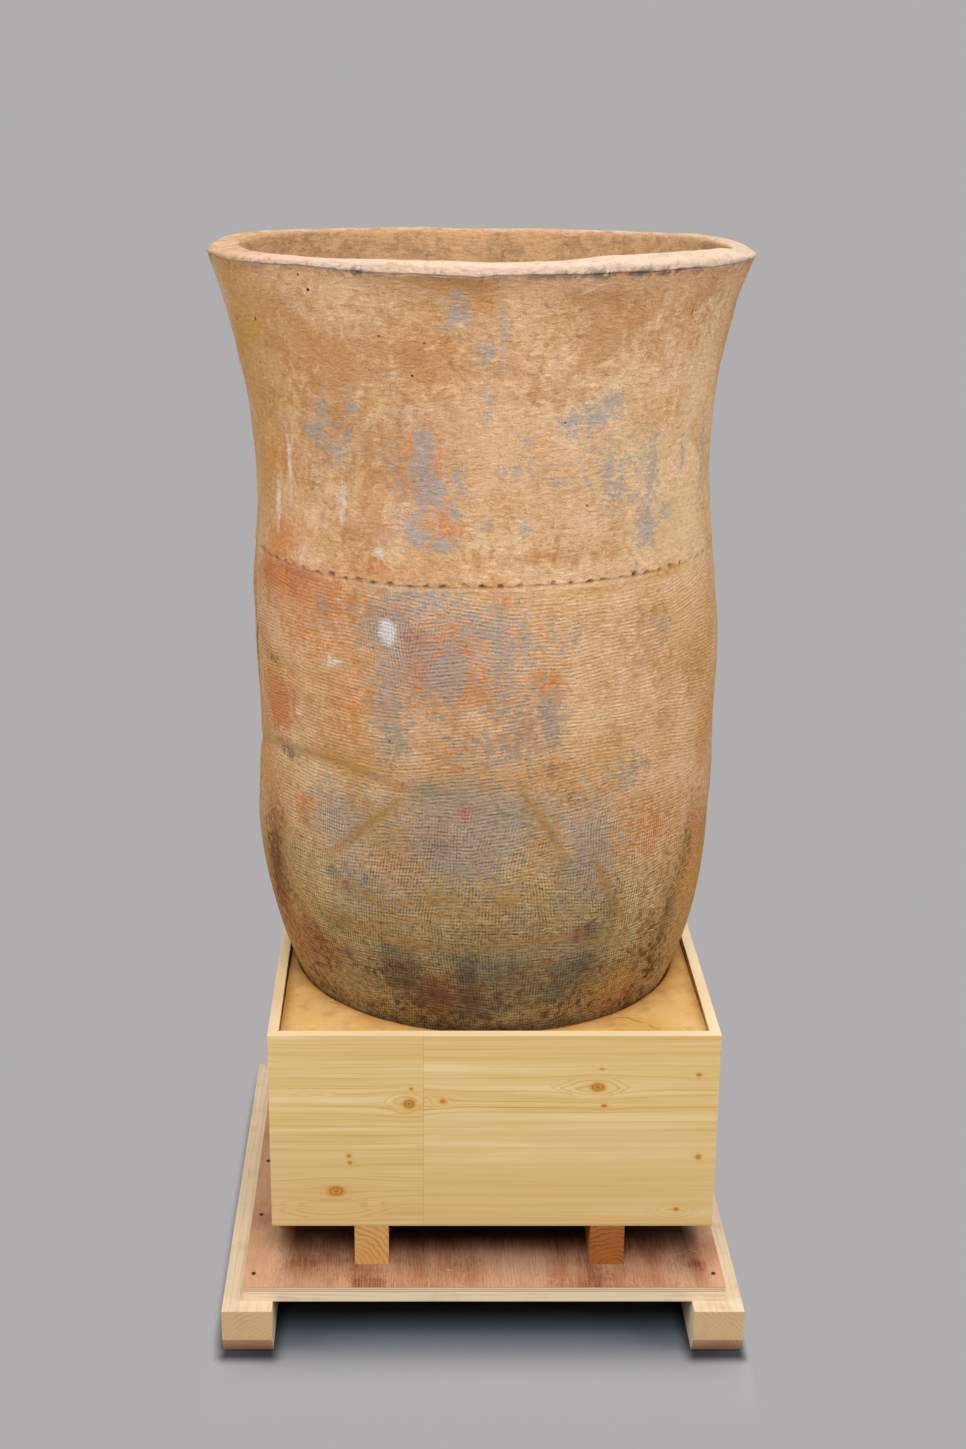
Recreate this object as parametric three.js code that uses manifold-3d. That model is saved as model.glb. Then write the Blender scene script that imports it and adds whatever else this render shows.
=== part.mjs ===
// Burial jar on its display stand: a large fired clay jar coffin, bedded in foam in a pine box,
// which stands on two bearers on a plywood pallet. Millimetres, +Z up, front towards -Y.
// The origin is on the floor, under the middle of the whole object's footprint.

import * as THREE from 'three';
import { mergeVertices } from 'three/addons/utils/BufferGeometryUtils.js';
import Module from 'manifold-3d';

const wasm = await Module();
wasm.setup();

// Pallet
const palletWidth = 1000;
const palletDepth = 1000;
const skidWidth = 96;
const skidHeight = 99.5;
const skidBevelHeight = 37;
const skidBevelDepth = 22;
const deckWidth = 929;
const deckOffsetX = 3; // the plywood lies a little to the right of the skids' middle
const deckInset = 34.5; // from the ends of the skids to the front and rear edges of the deck
const crossBoardCount = 5;
const crossBoardWidth = 90;
const crossBoardThickness = 21;
const plywoodThickness = 11;
const plywoodDepth = palletDepth - 2 * deckInset;

// Nails through the deck into the skids
const nailLength = 75;
const nailShankRadius = 1.7;
const nailHeadRadius = 4.5;
const nailHeadThickness = 1.4;
const nailSides = 8;
const nailInset = 18; // from the side edge of the deck to the row of nails
const nailClearance = 0.3;

// Bearers under the box
const bearerWidth = 66;
const bearerHeight = 86.5;
const bearerLeftX = -214.5;
const bearerRightX = 244.5;

// Box
const boxWidth = 855;
const boxDepth = 855;
const boxHeight = 410.5;
const boxOffsetX = 19.5; // the box stands right of the pallet's middle
const boxFrontY = -388.5;
const panelThickness = 20;
const floorThickness = 20;
const cleatWidth = 30;

// Foam bed in the box
const foamSheetCount = 4;
const foamDrop = 8.5; // from the rim of the box down to the foam
const foamGap = 3; // round the foam, to the panels and the cleats
const jarClearance = 3; // round the jar, in the hole cut for it
const seatGap = 0.3; // under the base of the jar

// Jar
const jarHeight = 1761;
const jarBaseAboveFloor = 47; // foam left under the jar, over the box's floor panel
const jarX = 17; // the jar's foot, from the pallet's middle
const jarY = 26;
const jarSides = 60;
const wallThickness = 30;
const baseThickness = 42;
const lipWidth = 48;
const lipFace = 16; // height of the lip's upright outer face
const lipRounding = 7;
const lipUndercut = 4; // the lip stands this far proud of the wall under it
const lipRadius = 505.5;
const lipDepthRatio = 0.92; // the mouth is a little shallower than it is wide
const mouthTaperStart = 1400; // height over which the wall goes from round to the oval mouth
const bellyRadius = 450;
const bellyHeight = 665;
const baseFullness = 1.9; // exponent of the base's curve, 2 is an ellipse
const baseRings = 9;
const leanX = -24; // the mouth stands this far left of the foot
const swellX = 7; // the right wall swells out under the band
const swellHeight = 950;
const swellSpan = 170;
const mouthTilt = 9; // the lip is this much higher at the front than at the sides

const neckRadius = 433;
const neckHeight = 1350;
const flareRings = 6; // from the neck to the lip, where the wall flares as a parabola

// Wall from the belly to the neck: height over the base, and how much of the way from the neck's
// radius to the belly's the wall keeps there
const bodyOutline = [
  [755, 0.88],
  [845, 0.76],
  [930, 0.94],
  [1020, 1.06],
  [1117, 0.91],
  [1164, 0.74],
  [1215, 0.41],
  [1262, 0.15],
];

const palletTop = skidHeight + crossBoardThickness + plywoodThickness;
const boxBottom = palletTop + bearerHeight;
const boxTop = boxBottom + boxHeight;
const boxCentreY = boxFrontY + boxDepth / 2;
const foamBottom = boxBottom + floorThickness;
const foamTop = boxTop - foamDrop;
const jarBottom = foamBottom + jarBaseAboveFloor;

// The whole object's footprint, of the pallet and the jar's mouth over it
const mouthX = jarX + leanX;
const mouthHalfDepth = lipRadius * lipDepthRatio;
const footprintLeft = Math.min(-palletWidth / 2, mouthX - lipRadius);
const footprintRight = Math.max(palletWidth / 2, mouthX + lipRadius);
const footprintFront = Math.min(-palletDepth / 2, jarY - mouthHalfDepth);
const footprintBack = Math.max(palletDepth / 2, jarY + mouthHalfDepth);

const firedClay = new THREE.MeshStandardMaterial({ color: 0xb98a5c, roughness: 0.92, metalness: 0 });
const yellowedFoam = new THREE.MeshStandardMaterial({ color: 0xc99b5a, roughness: 0.95, metalness: 0 });
const pinePanel = new THREE.MeshStandardMaterial({ color: 0xe3c47f, roughness: 0.55, metalness: 0 });
const sawnPine = new THREE.MeshStandardMaterial({ color: 0xd9b98a, roughness: 0.75, metalness: 0 });
const redPlywood = new THREE.MeshStandardMaterial({ color: 0x9a6f5c, roughness: 0.7, metalness: 0 });
const nailSteel = new THREE.MeshStandardMaterial({ color: 0x6d6a66, roughness: 0.5, metalness: 1 });

const pallet = new THREE.Group();
pallet.position.set(-(footprintLeft + footprintRight) / 2, -(footprintFront + footprintBack) / 2, 0);

function addPiece(name, geometry, material, x, y, z) {
  const piece = new THREE.Mesh(geometry, material);
  piece.name = name;
  piece.position.set(x, y, z);
  pallet.add(piece);
}

// A closed geometry as a solid for cutting
function solidOf(geometry) {
  const bare = geometry.clone();
  bare.deleteAttribute('normal');
  bare.deleteAttribute('uv');
  const closed = mergeVertices(bare, 1e-4);
  return new wasm.Manifold(new wasm.Mesh({
    numProp: 3,
    vertProperties: Float32Array.from(closed.attributes.position.array),
    triVerts: Uint32Array.from(closed.index.array),
  }));
}

function geometryOf(solid) {
  const mesh = solid.getMesh();
  const geometry = new THREE.BufferGeometry();
  geometry.setAttribute('position', new THREE.BufferAttribute(mesh.vertProperties, 3));
  geometry.setIndex(new THREE.BufferAttribute(mesh.triVerts, 1));
  return geometry;
}

function cutFrom(geometry, cutters) {
  let solid = solidOf(geometry);
  for (const cutter of cutters) {
    solid = solid.subtract(solidOf(cutter));
  }
  return geometryOf(solid);
}

// A box standing on z = 0, centred in x and y
function board(width, depth, height) {
  return new THREE.BoxGeometry(width, depth, height).translate(0, 0, height / 2);
}

// An upright rod from z = bottom to z = top
function uprightRod(radius, bottom, top) {
  const rod = new THREE.CylinderGeometry(radius, radius, top - bottom, nailSides);
  return rod.rotateX(Math.PI / 2).translate(0, 0, (bottom + top) / 2);
}

// Nail rows: one nail at each crossing of a cross board and a skid
const deckLeft = deckOffsetX - deckWidth / 2;
const deckRight = deckOffsetX + deckWidth / 2;
const nailXs = [deckLeft + nailInset, deckRight - nailInset];
const crossBoardYs = [];
for (let i = 0; i < crossBoardCount; i++) {
  const reach = (plywoodDepth - crossBoardWidth) / 2;
  crossBoardYs.push(reach * (2 * i / (crossBoardCount - 1) - 1));
}
const nailTip = palletTop - nailLength;
const nailHoleRadius = nailShankRadius + nailClearance;

function nailHoles(xs, ys, bottom, top) {
  const holes = [];
  for (const x of xs) {
    for (const y of ys) {
      holes.push(uprightRod(nailHoleRadius, bottom, top).translate(x, y, 0));
    }
  }
  return holes;
}

// Skids: sawn timber with the lower edge bevelled at both ends, so that the pallet drags
function skid() {
  const half = palletDepth / 2;
  const side = new THREE.Shape();
  side.moveTo(-half + skidBevelDepth, 0);
  side.lineTo(half - skidBevelDepth, 0);
  side.lineTo(half, skidBevelHeight);
  side.lineTo(half, skidHeight);
  side.lineTo(-half, skidHeight);
  side.lineTo(-half, skidBevelHeight);
  const timber = new THREE.ExtrudeGeometry(side, { depth: skidWidth, bevelEnabled: false });
  // the outline's x runs along the skid, its y upwards and the extrusion across
  return timber.rotateX(Math.PI / 2).rotateZ(Math.PI / 2).translate(-skidWidth / 2, 0, 0);
}

const skidX = (palletWidth - skidWidth) / 2;
for (const [name, x, nailX] of [['skid_left', -skidX, nailXs[0]], ['skid_right', skidX, nailXs[1]]]) {
  const holes = nailHoles([nailX - x], crossBoardYs, nailTip - nailClearance, skidHeight + 1);
  addPiece(name, cutFrom(skid(), holes), sawnPine, x, 0, 0);
}

// Cross boards lie on the skids, flush with the edges of the plywood
for (let i = 0; i < crossBoardCount; i++) {
  const holes = nailHoles(nailXs.map((x) => x - deckOffsetX), [0], -1, crossBoardThickness + 1);
  const crossBoard = cutFrom(board(deckWidth, crossBoardWidth, crossBoardThickness), holes);
  addPiece(`cross_board_${i + 1}`, crossBoard, sawnPine, deckOffsetX, crossBoardYs[i], skidHeight);
}

// Plywood deck
const deckHoles = nailHoles(nailXs.map((x) => x - deckOffsetX), crossBoardYs, -1, plywoodThickness + 1);
const deck = cutFrom(board(deckWidth, plywoodDepth, plywoodThickness), deckHoles);
addPiece('deck_plywood', deck, redPlywood, deckOffsetX, 0, palletTop - plywoodThickness);

// Nails: a flat head on the plywood and a shank with a blunt point
function nail() {
  const outline = [
    new THREE.Vector2(0, 0),
    new THREE.Vector2(nailShankRadius, nailShankRadius * 2),
    new THREE.Vector2(nailShankRadius, nailLength),
    new THREE.Vector2(nailHeadRadius, nailLength),
    new THREE.Vector2(nailHeadRadius, nailLength + nailHeadThickness),
    new THREE.Vector2(0, nailLength + nailHeadThickness),
  ];
  return new THREE.LatheGeometry(outline, nailSides).rotateX(Math.PI / 2);
}

for (const [side, x] of [['left', nailXs[0]], ['right', nailXs[1]]]) {
  for (let i = 0; i < crossBoardCount; i++) {
    addPiece(`deck_nail_${side}_${i + 1}`, nail(), nailSteel, x, crossBoardYs[i], nailTip);
  }
}

// Bearers, flush with the front of the box and as long as it is deep
for (const [name, x] of [['bearer_left', bearerLeftX], ['bearer_right', bearerRightX]]) {
  addPiece(name, board(bearerWidth, boxDepth, bearerHeight), sawnPine, x, boxCentreY, palletTop);
}

// Box: front and back panels run the full width, side panels butt between them
const sidePanelDepth = boxDepth - 2 * panelThickness;
const insideWidth = boxWidth - 2 * panelThickness;
const panelY = (boxDepth - panelThickness) / 2;
const panelX = (boxWidth - panelThickness) / 2;
for (const [name, side] of [['box_front', -1], ['box_back', 1]]) {
  const panel = board(boxWidth, panelThickness, boxHeight);
  addPiece(name, panel, pinePanel, boxOffsetX, boxCentreY + side * panelY, boxBottom);
}
for (const [name, side] of [['box_left', -1], ['box_right', 1]]) {
  const panel = board(panelThickness, sidePanelDepth, boxHeight);
  addPiece(name, panel, pinePanel, boxOffsetX + side * panelX, boxCentreY, boxBottom);
}
addPiece('box_floor', board(insideWidth, sidePanelDepth, floorThickness), pinePanel,
  boxOffsetX, boxCentreY, boxBottom);

// Corner cleats tie the panels together from inside, up to the top sheet of foam
const foamSheetHeight = (foamTop - foamBottom) / foamSheetCount;
const cleatHeight = foamSheetHeight * (foamSheetCount - 1) - foamGap;
for (const [end, sideY] of [['front', -1], ['back', 1]]) {
  for (const [hand, sideX] of [['left', -1], ['right', 1]]) {
    const x = boxOffsetX + sideX * (insideWidth - cleatWidth) / 2;
    const y = boxCentreY + sideY * (sidePanelDepth - cleatWidth) / 2;
    addPiece(`cleat_${end}_${hand}`, board(cleatWidth, cleatWidth, cleatHeight), sawnPine, x, y, foamBottom);
  }
}

// Outer outline of the base, a superellipse
function baseOutline(grow) {
  const points = [];
  for (let i = 0; i <= baseRings; i++) {
    const height = bellyHeight * (1 - Math.cos((i / baseRings) * Math.PI / 2));
    const fall = ((bellyHeight - height) / bellyHeight) ** baseFullness;
    const radius = bellyRadius * (1 - fall) ** (1 / baseFullness);
    points.push(new THREE.Vector2(i === 0 ? 0 : radius + grow, height));
  }
  return points;
}

function jarOutline() {
  const outer = baseOutline(0);
  for (const [height, share] of bodyOutline) {
    outer.push(new THREE.Vector2(neckRadius + (bellyRadius - neckRadius) * share, height));
  }
  const flareHeight = jarHeight - lipFace - neckHeight;
  const flareWidth = lipRadius - lipUndercut - neckRadius;
  for (let i = 0; i <= flareRings; i++) {
    const t = i / flareRings;
    outer.push(new THREE.Vector2(neckRadius + flareWidth * t ** 2, neckHeight + flareHeight * t));
  }
  const lip = [
    new THREE.Vector2(lipRadius, jarHeight - lipFace / 2),
    new THREE.Vector2(lipRadius - lipRounding * 0.3, jarHeight - lipRounding * 0.3),
    new THREE.Vector2(lipRadius - lipRounding, jarHeight),
    new THREE.Vector2(lipRadius - lipWidth, jarHeight),
    new THREE.Vector2(lipRadius - lipWidth - lipRounding / 2, jarHeight - lipRounding),
  ];
  const inner = [];
  for (const { x, y } of outer.slice(1, -1).reverse()) {
    const rise = (baseThickness - wallThickness) * Math.max(0, 1 - y / bellyHeight);
    if (x > wallThickness * 3) {
      inner.push(new THREE.Vector2(x - wallThickness, Math.max(y, baseThickness) + rise));
    }
  }
  return [...outer, ...lip, ...inner, new THREE.Vector2(0, baseThickness)];
}

// The wall leans and swells, and the mouth is oval and tilts back
function shapeLikeHandwork(geometry) {
  const points = geometry.attributes.position;
  for (let i = 0; i < points.count; i++) {
    const x = points.getX(i);
    const y = points.getY(i);
    const z = points.getZ(i);
    const radius = Math.hypot(x, y);
    const towardsMouth = THREE.MathUtils.smoothstep(z, mouthTaperStart, jarHeight);
    const front = radius > 0 ? -y / radius : 0;
    const swell = swellX * Math.exp(-(((z - swellHeight) / swellSpan) ** 2));
    points.setX(i, x + leanX * (z / jarHeight) + swell);
    points.setY(i, y * (1 - (1 - lipDepthRatio) * towardsMouth));
    points.setZ(i, z + mouthTilt * front * towardsMouth);
  }
  return geometry;
}

function jarLathe(outline) {
  return shapeLikeHandwork(new THREE.LatheGeometry(outline, jarSides).rotateX(Math.PI / 2));
}

addPiece('jar', geometryOf(solidOf(jarLathe(jarOutline()))), firedClay, jarX, jarY, jarBottom);

// Foam sheets, stacked, each with a hole cut to the jar. The top sheet covers the cleats, and the
// corners of the others are cut out for them.
function foamSheet(bottom, isTop) {
  const width = insideWidth - 2 * foamGap;
  const depth = sidePanelDepth - 2 * foamGap;
  const cutters = [];
  if (!isTop) {
    const cornerCut = 2 * (cleatWidth + foamGap);
    for (const x of [-insideWidth / 2, insideWidth / 2]) {
      for (const y of [-sidePanelDepth / 2, sidePanelDepth / 2]) {
        cutters.push(board(cornerCut, cornerCut, foamSheetHeight + 2).translate(x, y, -1));
      }
    }
  }
  const plug = jarLathe([...baseOutline(jarClearance), new THREE.Vector2(0, bellyHeight)]);
  cutters.push(plug.translate(jarX - boxOffsetX, jarY - boxCentreY, jarBottom - seatGap - bottom));
  return cutFrom(board(width, depth, foamSheetHeight), cutters);
}

for (let i = 0; i < foamSheetCount; i++) {
  const bottom = foamBottom + i * foamSheetHeight;
  const sheet = foamSheet(bottom, i === foamSheetCount - 1);
  addPiece(`foam_sheet_${i + 1}`, sheet, yellowedFoam, boxOffsetX, boxCentreY, bottom);
}

export default pallet;
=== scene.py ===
"""Burial jar on its display stand: the finished surfaces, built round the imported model.

The jar and its foam bed are built here as detailed meshes. The timber, plywood and nails keep
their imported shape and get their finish. Lengths are in metres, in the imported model's frame, with
the front towards -Y. Angles round the jar start at the front and grow towards +X.
"""

import math

import bpy
import numpy as np
from bpy.props import FloatProperty, FloatVectorProperty, IntProperty, PointerProperty
from bpy.types import Operator, Panel, PropertyGroup
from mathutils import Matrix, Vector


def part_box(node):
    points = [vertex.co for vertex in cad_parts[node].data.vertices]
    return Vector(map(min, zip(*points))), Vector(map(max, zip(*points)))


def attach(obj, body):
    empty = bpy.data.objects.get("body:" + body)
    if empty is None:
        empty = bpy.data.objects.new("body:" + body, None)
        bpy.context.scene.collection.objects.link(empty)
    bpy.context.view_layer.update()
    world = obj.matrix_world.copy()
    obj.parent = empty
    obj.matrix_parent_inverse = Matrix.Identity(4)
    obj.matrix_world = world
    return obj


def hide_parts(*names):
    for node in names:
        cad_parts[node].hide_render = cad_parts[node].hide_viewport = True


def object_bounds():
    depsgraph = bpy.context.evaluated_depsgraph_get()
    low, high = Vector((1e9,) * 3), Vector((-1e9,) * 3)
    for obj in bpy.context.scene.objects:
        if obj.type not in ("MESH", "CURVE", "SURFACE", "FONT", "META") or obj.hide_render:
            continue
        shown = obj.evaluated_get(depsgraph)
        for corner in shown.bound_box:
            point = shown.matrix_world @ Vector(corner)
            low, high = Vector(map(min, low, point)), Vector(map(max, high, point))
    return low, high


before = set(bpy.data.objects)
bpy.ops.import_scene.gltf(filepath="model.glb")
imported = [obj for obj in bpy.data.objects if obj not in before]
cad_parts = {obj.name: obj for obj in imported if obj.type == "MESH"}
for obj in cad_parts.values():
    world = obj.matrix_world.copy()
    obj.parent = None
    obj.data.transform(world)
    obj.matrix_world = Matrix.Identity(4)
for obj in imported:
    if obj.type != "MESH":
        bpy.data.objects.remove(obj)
cad_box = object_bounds()

bl_info = {
    "name": "Burial jar on a display stand",
    "version": (1, 0, 0),
    "blender": (4, 5, 0),
    "location": "3D View > Sidebar > Burial jar",
    "description": "Builds the fired clay jar, its foam bed and the finish of its pine stand",
    "category": "Object",
}

MM = 0.001


def linear(hex_colour):
    """An sRGB hex value as linear red, green, blue and alpha."""
    values = [int(hex_colour[i:i + 2], 16) / 255 for i in (1, 3, 5)]
    return (*[v / 12.92 if v <= 0.04045 else ((v + 0.055) / 1.055) ** 2.4 for v in values], 1.0)


def length(name, description, default):
    """A length that the user can change."""
    return FloatProperty(name=name, description=description, default=default, min=0,
                         precision=4, subtype="DISTANCE", unit="LENGTH")


def colour(name, description, hex_colour):
    """A colour that the user can change."""
    return FloatVectorProperty(name=name, description=description, default=linear(hex_colour),
                               size=4, min=0, max=1, subtype="COLOR")


# The jar's place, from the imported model: the mouth is its widest part, over the middle of its box
JAR_LOW, JAR_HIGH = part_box("jar")
MOUTH_X = (JAR_LOW.x + JAR_HIGH.x) / 2
FOOT_Y = (JAR_LOW.y + JAR_HIGH.y) / 2
LEAN = -24 * MM  # the mouth stands this far left of the foot
FOOT_X = MOUTH_X - LEAN
MOUTH_TILT = 9 * MM  # the front of the lip is this much higher than its sides
MOUTH_HEIGHT = JAR_HIGH.z - JAR_LOW.z - MOUTH_TILT


class JarSettings(PropertyGroup):
    """Sizes and clay colours of the jar"""

    belly_radius: length("Belly radius", "Where the base meets the wall", 450 * MM)
    belly_height: length("Belly height", "From the base up to the full belly", 665 * MM)
    neck_radius: length("Neck radius", "At the narrowest part above the band", 433 * MM)
    neck_height: length("Neck height", "From the base up to the neck", 1350 * MM)
    lip_radius: length("Lip radius", "Half the width of the mouth", (JAR_HIGH.x - JAR_LOW.x) / 2)
    lip_width: length("Lip width", "Across the flat top of the lip", 48 * MM)
    lip_face: length("Lip face", "Height of the lip's upright outer face", 16 * MM)
    wall: length("Wall", "Thickness of the wall", 30 * MM)
    band_height: length("Band height", "From the base up to the notched joint", 1218 * MM)
    notches: IntProperty(name="Notches", description="Notches round the band", default=86, min=20)
    notch_width: length("Notch width", "Across one notch", 15 * MM)
    notch_depth: length("Notch depth", "Depth of one notch", 4.5 * MM)
    cord_pitch: length("Cord pitch", "Between two marks of the cord-wrapped paddle", 6.8 * MM)
    mesh_pitch: length("Mesh pitch", "Between two marks of the woven mat", 6.0 * MM)
    buff: colour("Buff", "Clay fired in open air", "#d5a778")
    pink: colour("Pink buff", "Clay that fired a little pinker", "#ddb28a")
    sand: colour("Sand", "Paler, yellower clay", "#e6c498")
    slip: colour("Slip", "Ochre clay dragged across the paddled wall", "#a5773c")
    ochre: colour("Ochre", "Soil and slip stain", "#c8954e")
    orange: colour("Orange", "Iron-rich clay, fully oxidised", "#cb7739")
    grey: colour("Grey", "Clay that fired with little air", "#a39c96")
    smoke: colour("Smoke", "Smoke-stained clay low on the wall", "#978b7c")
    umber: colour("Umber", "Brown patches in the buff clay", "#b27a42")
    khaki: colour("Khaki", "Pale soil low on the wall", "#a58c5e")
    teal: colour("Teal", "Blue-green minerals out of the soil", "#5f685a")
    soot: colour("Soot", "Dark smoke and soil blotches", "#40311f")
    red: colour("Red", "Brick red spots", "#a8552f")
    cream: colour("Cream", "Worn lip and pale spots", "#ecd2bf")


class FoamSettings(PropertyGroup):
    """Sizes and colour of the foam bed"""

    front_gap: length("Front gap", "From foam to side panel at the front", 1 * MM)
    back_gap: length("Back gap", "From foam to side panel at the back", 8 * MM)
    jar_gap: length("Gap round the jar", "Width of the dark crease round the jar", 2.6 * MM)
    edge: length("Edge", "Rounding of the cut edges", 3 * MM)
    amber: colour("Amber", "Aged foam", "#d2a158")
    brown: colour("Brown", "Foam darkened by age along its edges", "#a8732e")


class TimberSettings(PropertyGroup):
    """Colours of the box and the pallet"""

    panel: colour("Panel", "Planed edge-glued pine", "#dbbd83")
    panel_line: colour("Panel grain", "Summer growth in the panel", "#bc8c42")
    knot: colour("Knot", "Middle of a knot", "#c08432")
    sawn: colour("Sawn pine", "Spring growth of the sawn pine", "#efd9ba")
    sawn_line: colour("Sawn pine grain", "Summer growth of the sawn pine", "#d8b285")
    plywood: colour("Plywood", "Reddish hardwood face", "#c59774")
    plywood_core: colour("Plywood core", "Inner plies", "#d8bfa0")
    steel: colour("Nail steel", "Dull drawn steel", "#4a423a")


class StageSettings(PropertyGroup):
    """Camera, lamps and background"""

    background: colour("Background", "Floor and backdrop", "#afadae")
    key_power: FloatProperty(name="Key power", description="Overhead soft box", default=326,
                             min=0, unit="POWER")
    left_power: FloatProperty(name="Left power", description="Left soft box", default=152,
                              min=0, unit="POWER")
    right_power: FloatProperty(name="Right power", description="Right soft box", default=148,
                               min=0, unit="POWER")
    back_power: FloatProperty(name="Back power", description="Soft box behind", default=170,
                              min=0, unit="POWER")
    fade: length("Fade", "How far from the object the floor turns into the background", 0.22)
    sky: FloatProperty(name="Sky", description="Even light from all round", default=0.06, min=0)
    lens: FloatProperty(name="Lens", description="Focal length", default=50.45, min=1,
                        unit="CAMERA")


def add_node(tree, kind, inputs=None, ramp=None, **settings):
    """Adds a shader node. kind may end in an operation, as in "Math ADD". inputs maps a socket to
    a value, or to a node or a socket to link from. ramp lists a colour ramp's places and colours."""
    kind, _, operation = kind.partition(" ")
    node = tree.nodes.new("ShaderNode" + kind)
    if operation:
        node.operation = operation
    for name, value in settings.items():
        setattr(node, name, value)
    for key, value in (inputs or {}).items():
        if isinstance(value, bpy.types.Node):
            value = value.outputs[0]
        if isinstance(value, bpy.types.NodeSocket):
            tree.links.new(value, node.inputs[key])
        else:
            node.inputs[key].default_value = value
    for i, (position, shade) in enumerate(ramp or []):
        if i >= 2:
            node.color_ramp.elements.new(position)
        node.color_ramp.elements[i].position = position
        node.color_ramp.elements[i].color = shade
    return node


def new_material(name):
    """An empty node material and its tree."""
    material = bpy.data.materials.new(name)
    material.use_nodes = True
    material.node_tree.nodes.clear()
    return material, material.node_tree


def finish_surface(tree, base, height, roughness, **shine):
    """Ends a material: a Principled surface with its relief, where height is in metres."""
    bump = add_node(tree, "Bump", {"Height": height, "Distance": 1.0, "Strength": 1.0})
    surface = add_node(tree, "BsdfPrincipled",
                       {"Base Color": base, "Normal": bump, "Roughness": roughness})
    for socket, value in shine.items():
        surface.inputs[socket.replace("_", " ")].default_value = value
    add_node(tree, "OutputMaterial", {"Surface": surface})


def ragged(tree, mask, noise, spread, sharp):
    """A stain's outline, broken up by noise. sharp is how hard its edge is."""
    shifted = add_node(tree, "Math MULTIPLY_ADD", {0: noise, 1: spread, 2: -0.5 * spread})
    raised = add_node(tree, "Math ADD", {0: mask, 1: shifted})
    patch = add_node(tree, "MapRange",
                     {"Value": raised, "From Min": 0.5 - 0.5 / sharp, "From Max": 0.5 + 0.5 / sharp})
    near = add_node(tree, "Math MULTIPLY", {0: mask, 1: 6.0}, use_clamp=True)
    return add_node(tree, "Math MULTIPLY", {0: patch, 1: near})


def stretched_noise(tree, place, cells, detail):
    """Noise drawn out along an axis. cells is how many of its cells lie in a metre along X, Y, Z."""
    at = add_node(tree, "VectorMath MULTIPLY", {0: place, 1: cells})
    return add_node(tree, "TexNoise", {"Vector": at, "Scale": 1.0, "Detail": detail})


def value_noise(points, cell, seed):
    """Smooth noise between -1 and 1 at points, an array with x, y, z last, with cells that size."""
    size = 32
    lattice = np.random.default_rng(seed).uniform(-1, 1, (size, size, size))
    scaled = points / cell
    low = np.floor(scaled).astype(int)
    t = scaled - low
    t = t * t * (3 - 2 * t)
    total = 0
    for corner in np.ndindex(2, 2, 2):
        at = (low + corner) % size
        share = np.prod(np.where(corner, t, 1 - t), axis=-1)
        total = total + share * lattice[at[..., 0], at[..., 1], at[..., 2]]
    return total


def smoothstep(value, low, high):
    """0 below low, 1 above high and smooth between."""
    t = np.clip((value - low) / (high - low), 0, 1)
    return t * t * (3 - 2 * t)


def hill(value, middle, half, power=2):
    """1 at the middle, falling smoothly to about a third at half on either side of it."""
    return np.exp(-((value - middle) / half) ** power)


def smooth_curve(x, points):
    """A smooth curve through points, with a cubic between each two."""
    xs, ys = np.array(points, float).T
    slopes = np.gradient(ys, xs)
    i = np.clip(np.searchsorted(xs, x) - 1, 0, len(xs) - 2)
    span = xs[i + 1] - xs[i]
    t = (x - xs[i]) / span
    low = (1 + 2 * t) * (1 - t) ** 2 * ys[i] + t * (1 - t) ** 2 * span * slopes[i]
    high = t * t * (3 - 2 * t) * ys[i + 1] + t * t * (t - 1) * span * slopes[i + 1]
    return low + high


def arc(centre, radius, start, end, steps):
    """Points on a round corner, with angles in degrees."""
    angles = np.radians(np.linspace(start, end, steps))
    return [(centre[0] + radius * math.cos(a), centre[1] + radius * math.sin(a)) for a in angles]


def ring_mesh(name, points, tops=None, flat_map=None, attributes=None):
    """A mesh over rows of rings of points. tops closes the first and the last ring with a point
    each; without it the rows close on themselves. flat_map gives each row and column its place
    on the flattened wall, with one column more than the rings."""
    rows, columns = points.shape[:2]
    vertices = points.reshape(-1, 3)
    next_row = (np.arange(rows) + 1) % rows
    next_column = (np.arange(columns) + 1) % columns
    here = np.arange(rows)[:, None] * columns
    there = next_row[:, None] * columns
    quads = np.stack([here + np.arange(columns), here + next_column,
                      there + next_column, there + np.arange(columns)], axis=-1)
    if tops is not None:
        quads = quads[:-1]
    faces = quads.reshape(-1, 4).tolist()
    if tops is not None:
        vertices = np.vstack([vertices, tops])
        first, last = rows * columns, rows * columns + 1
        faces += [[first, int(b), a] for a, b in enumerate(next_column)]
        end = (rows - 1) * columns
        faces += [[last, end + a, end + int(b)] for a, b in enumerate(next_column)]
    mesh = bpy.data.meshes.new(name)
    mesh.from_pydata(vertices.tolist(), [], faces)
    mesh.shade_smooth()
    if flat_map is not None:
        corners = np.stack([flat_map[:-1, :-1], flat_map[:-1, 1:], flat_map[1:, 1:],
                            flat_map[1:, :-1]], axis=2).reshape(-1, 2)
        fans = np.repeat(np.stack([flat_map[0, :-1], flat_map[-1, :-1]]).reshape(-1, 2), 3, axis=0)
        layer = mesh.uv_layers.new(name="Wall")
        layer.data.foreach_set("uv", np.vstack([corners, fans]).astype(np.float32).ravel())
    for attribute, values in (attributes or {}).items():
        padded = np.append(values.ravel(), [0.0] * (len(vertices) - values.size))
        made = mesh.attributes.new(attribute, "FLOAT", "POINT")
        made.data.foreach_set("value", padded.astype(np.float32))
    piece = bpy.data.objects.new(name, mesh)
    bpy.context.scene.collection.objects.link(piece)
    return piece


# Wall between belly and neck: height over the base and radius, in millimetres
BODY = [(665, 450), (755, 449), (845, 446.5), (930, 448.8), (1020, 451), (1117, 448.6),
        (1164, 445.4), (1215, 440), (1262, 435.4), (1350, 433)]
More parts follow.
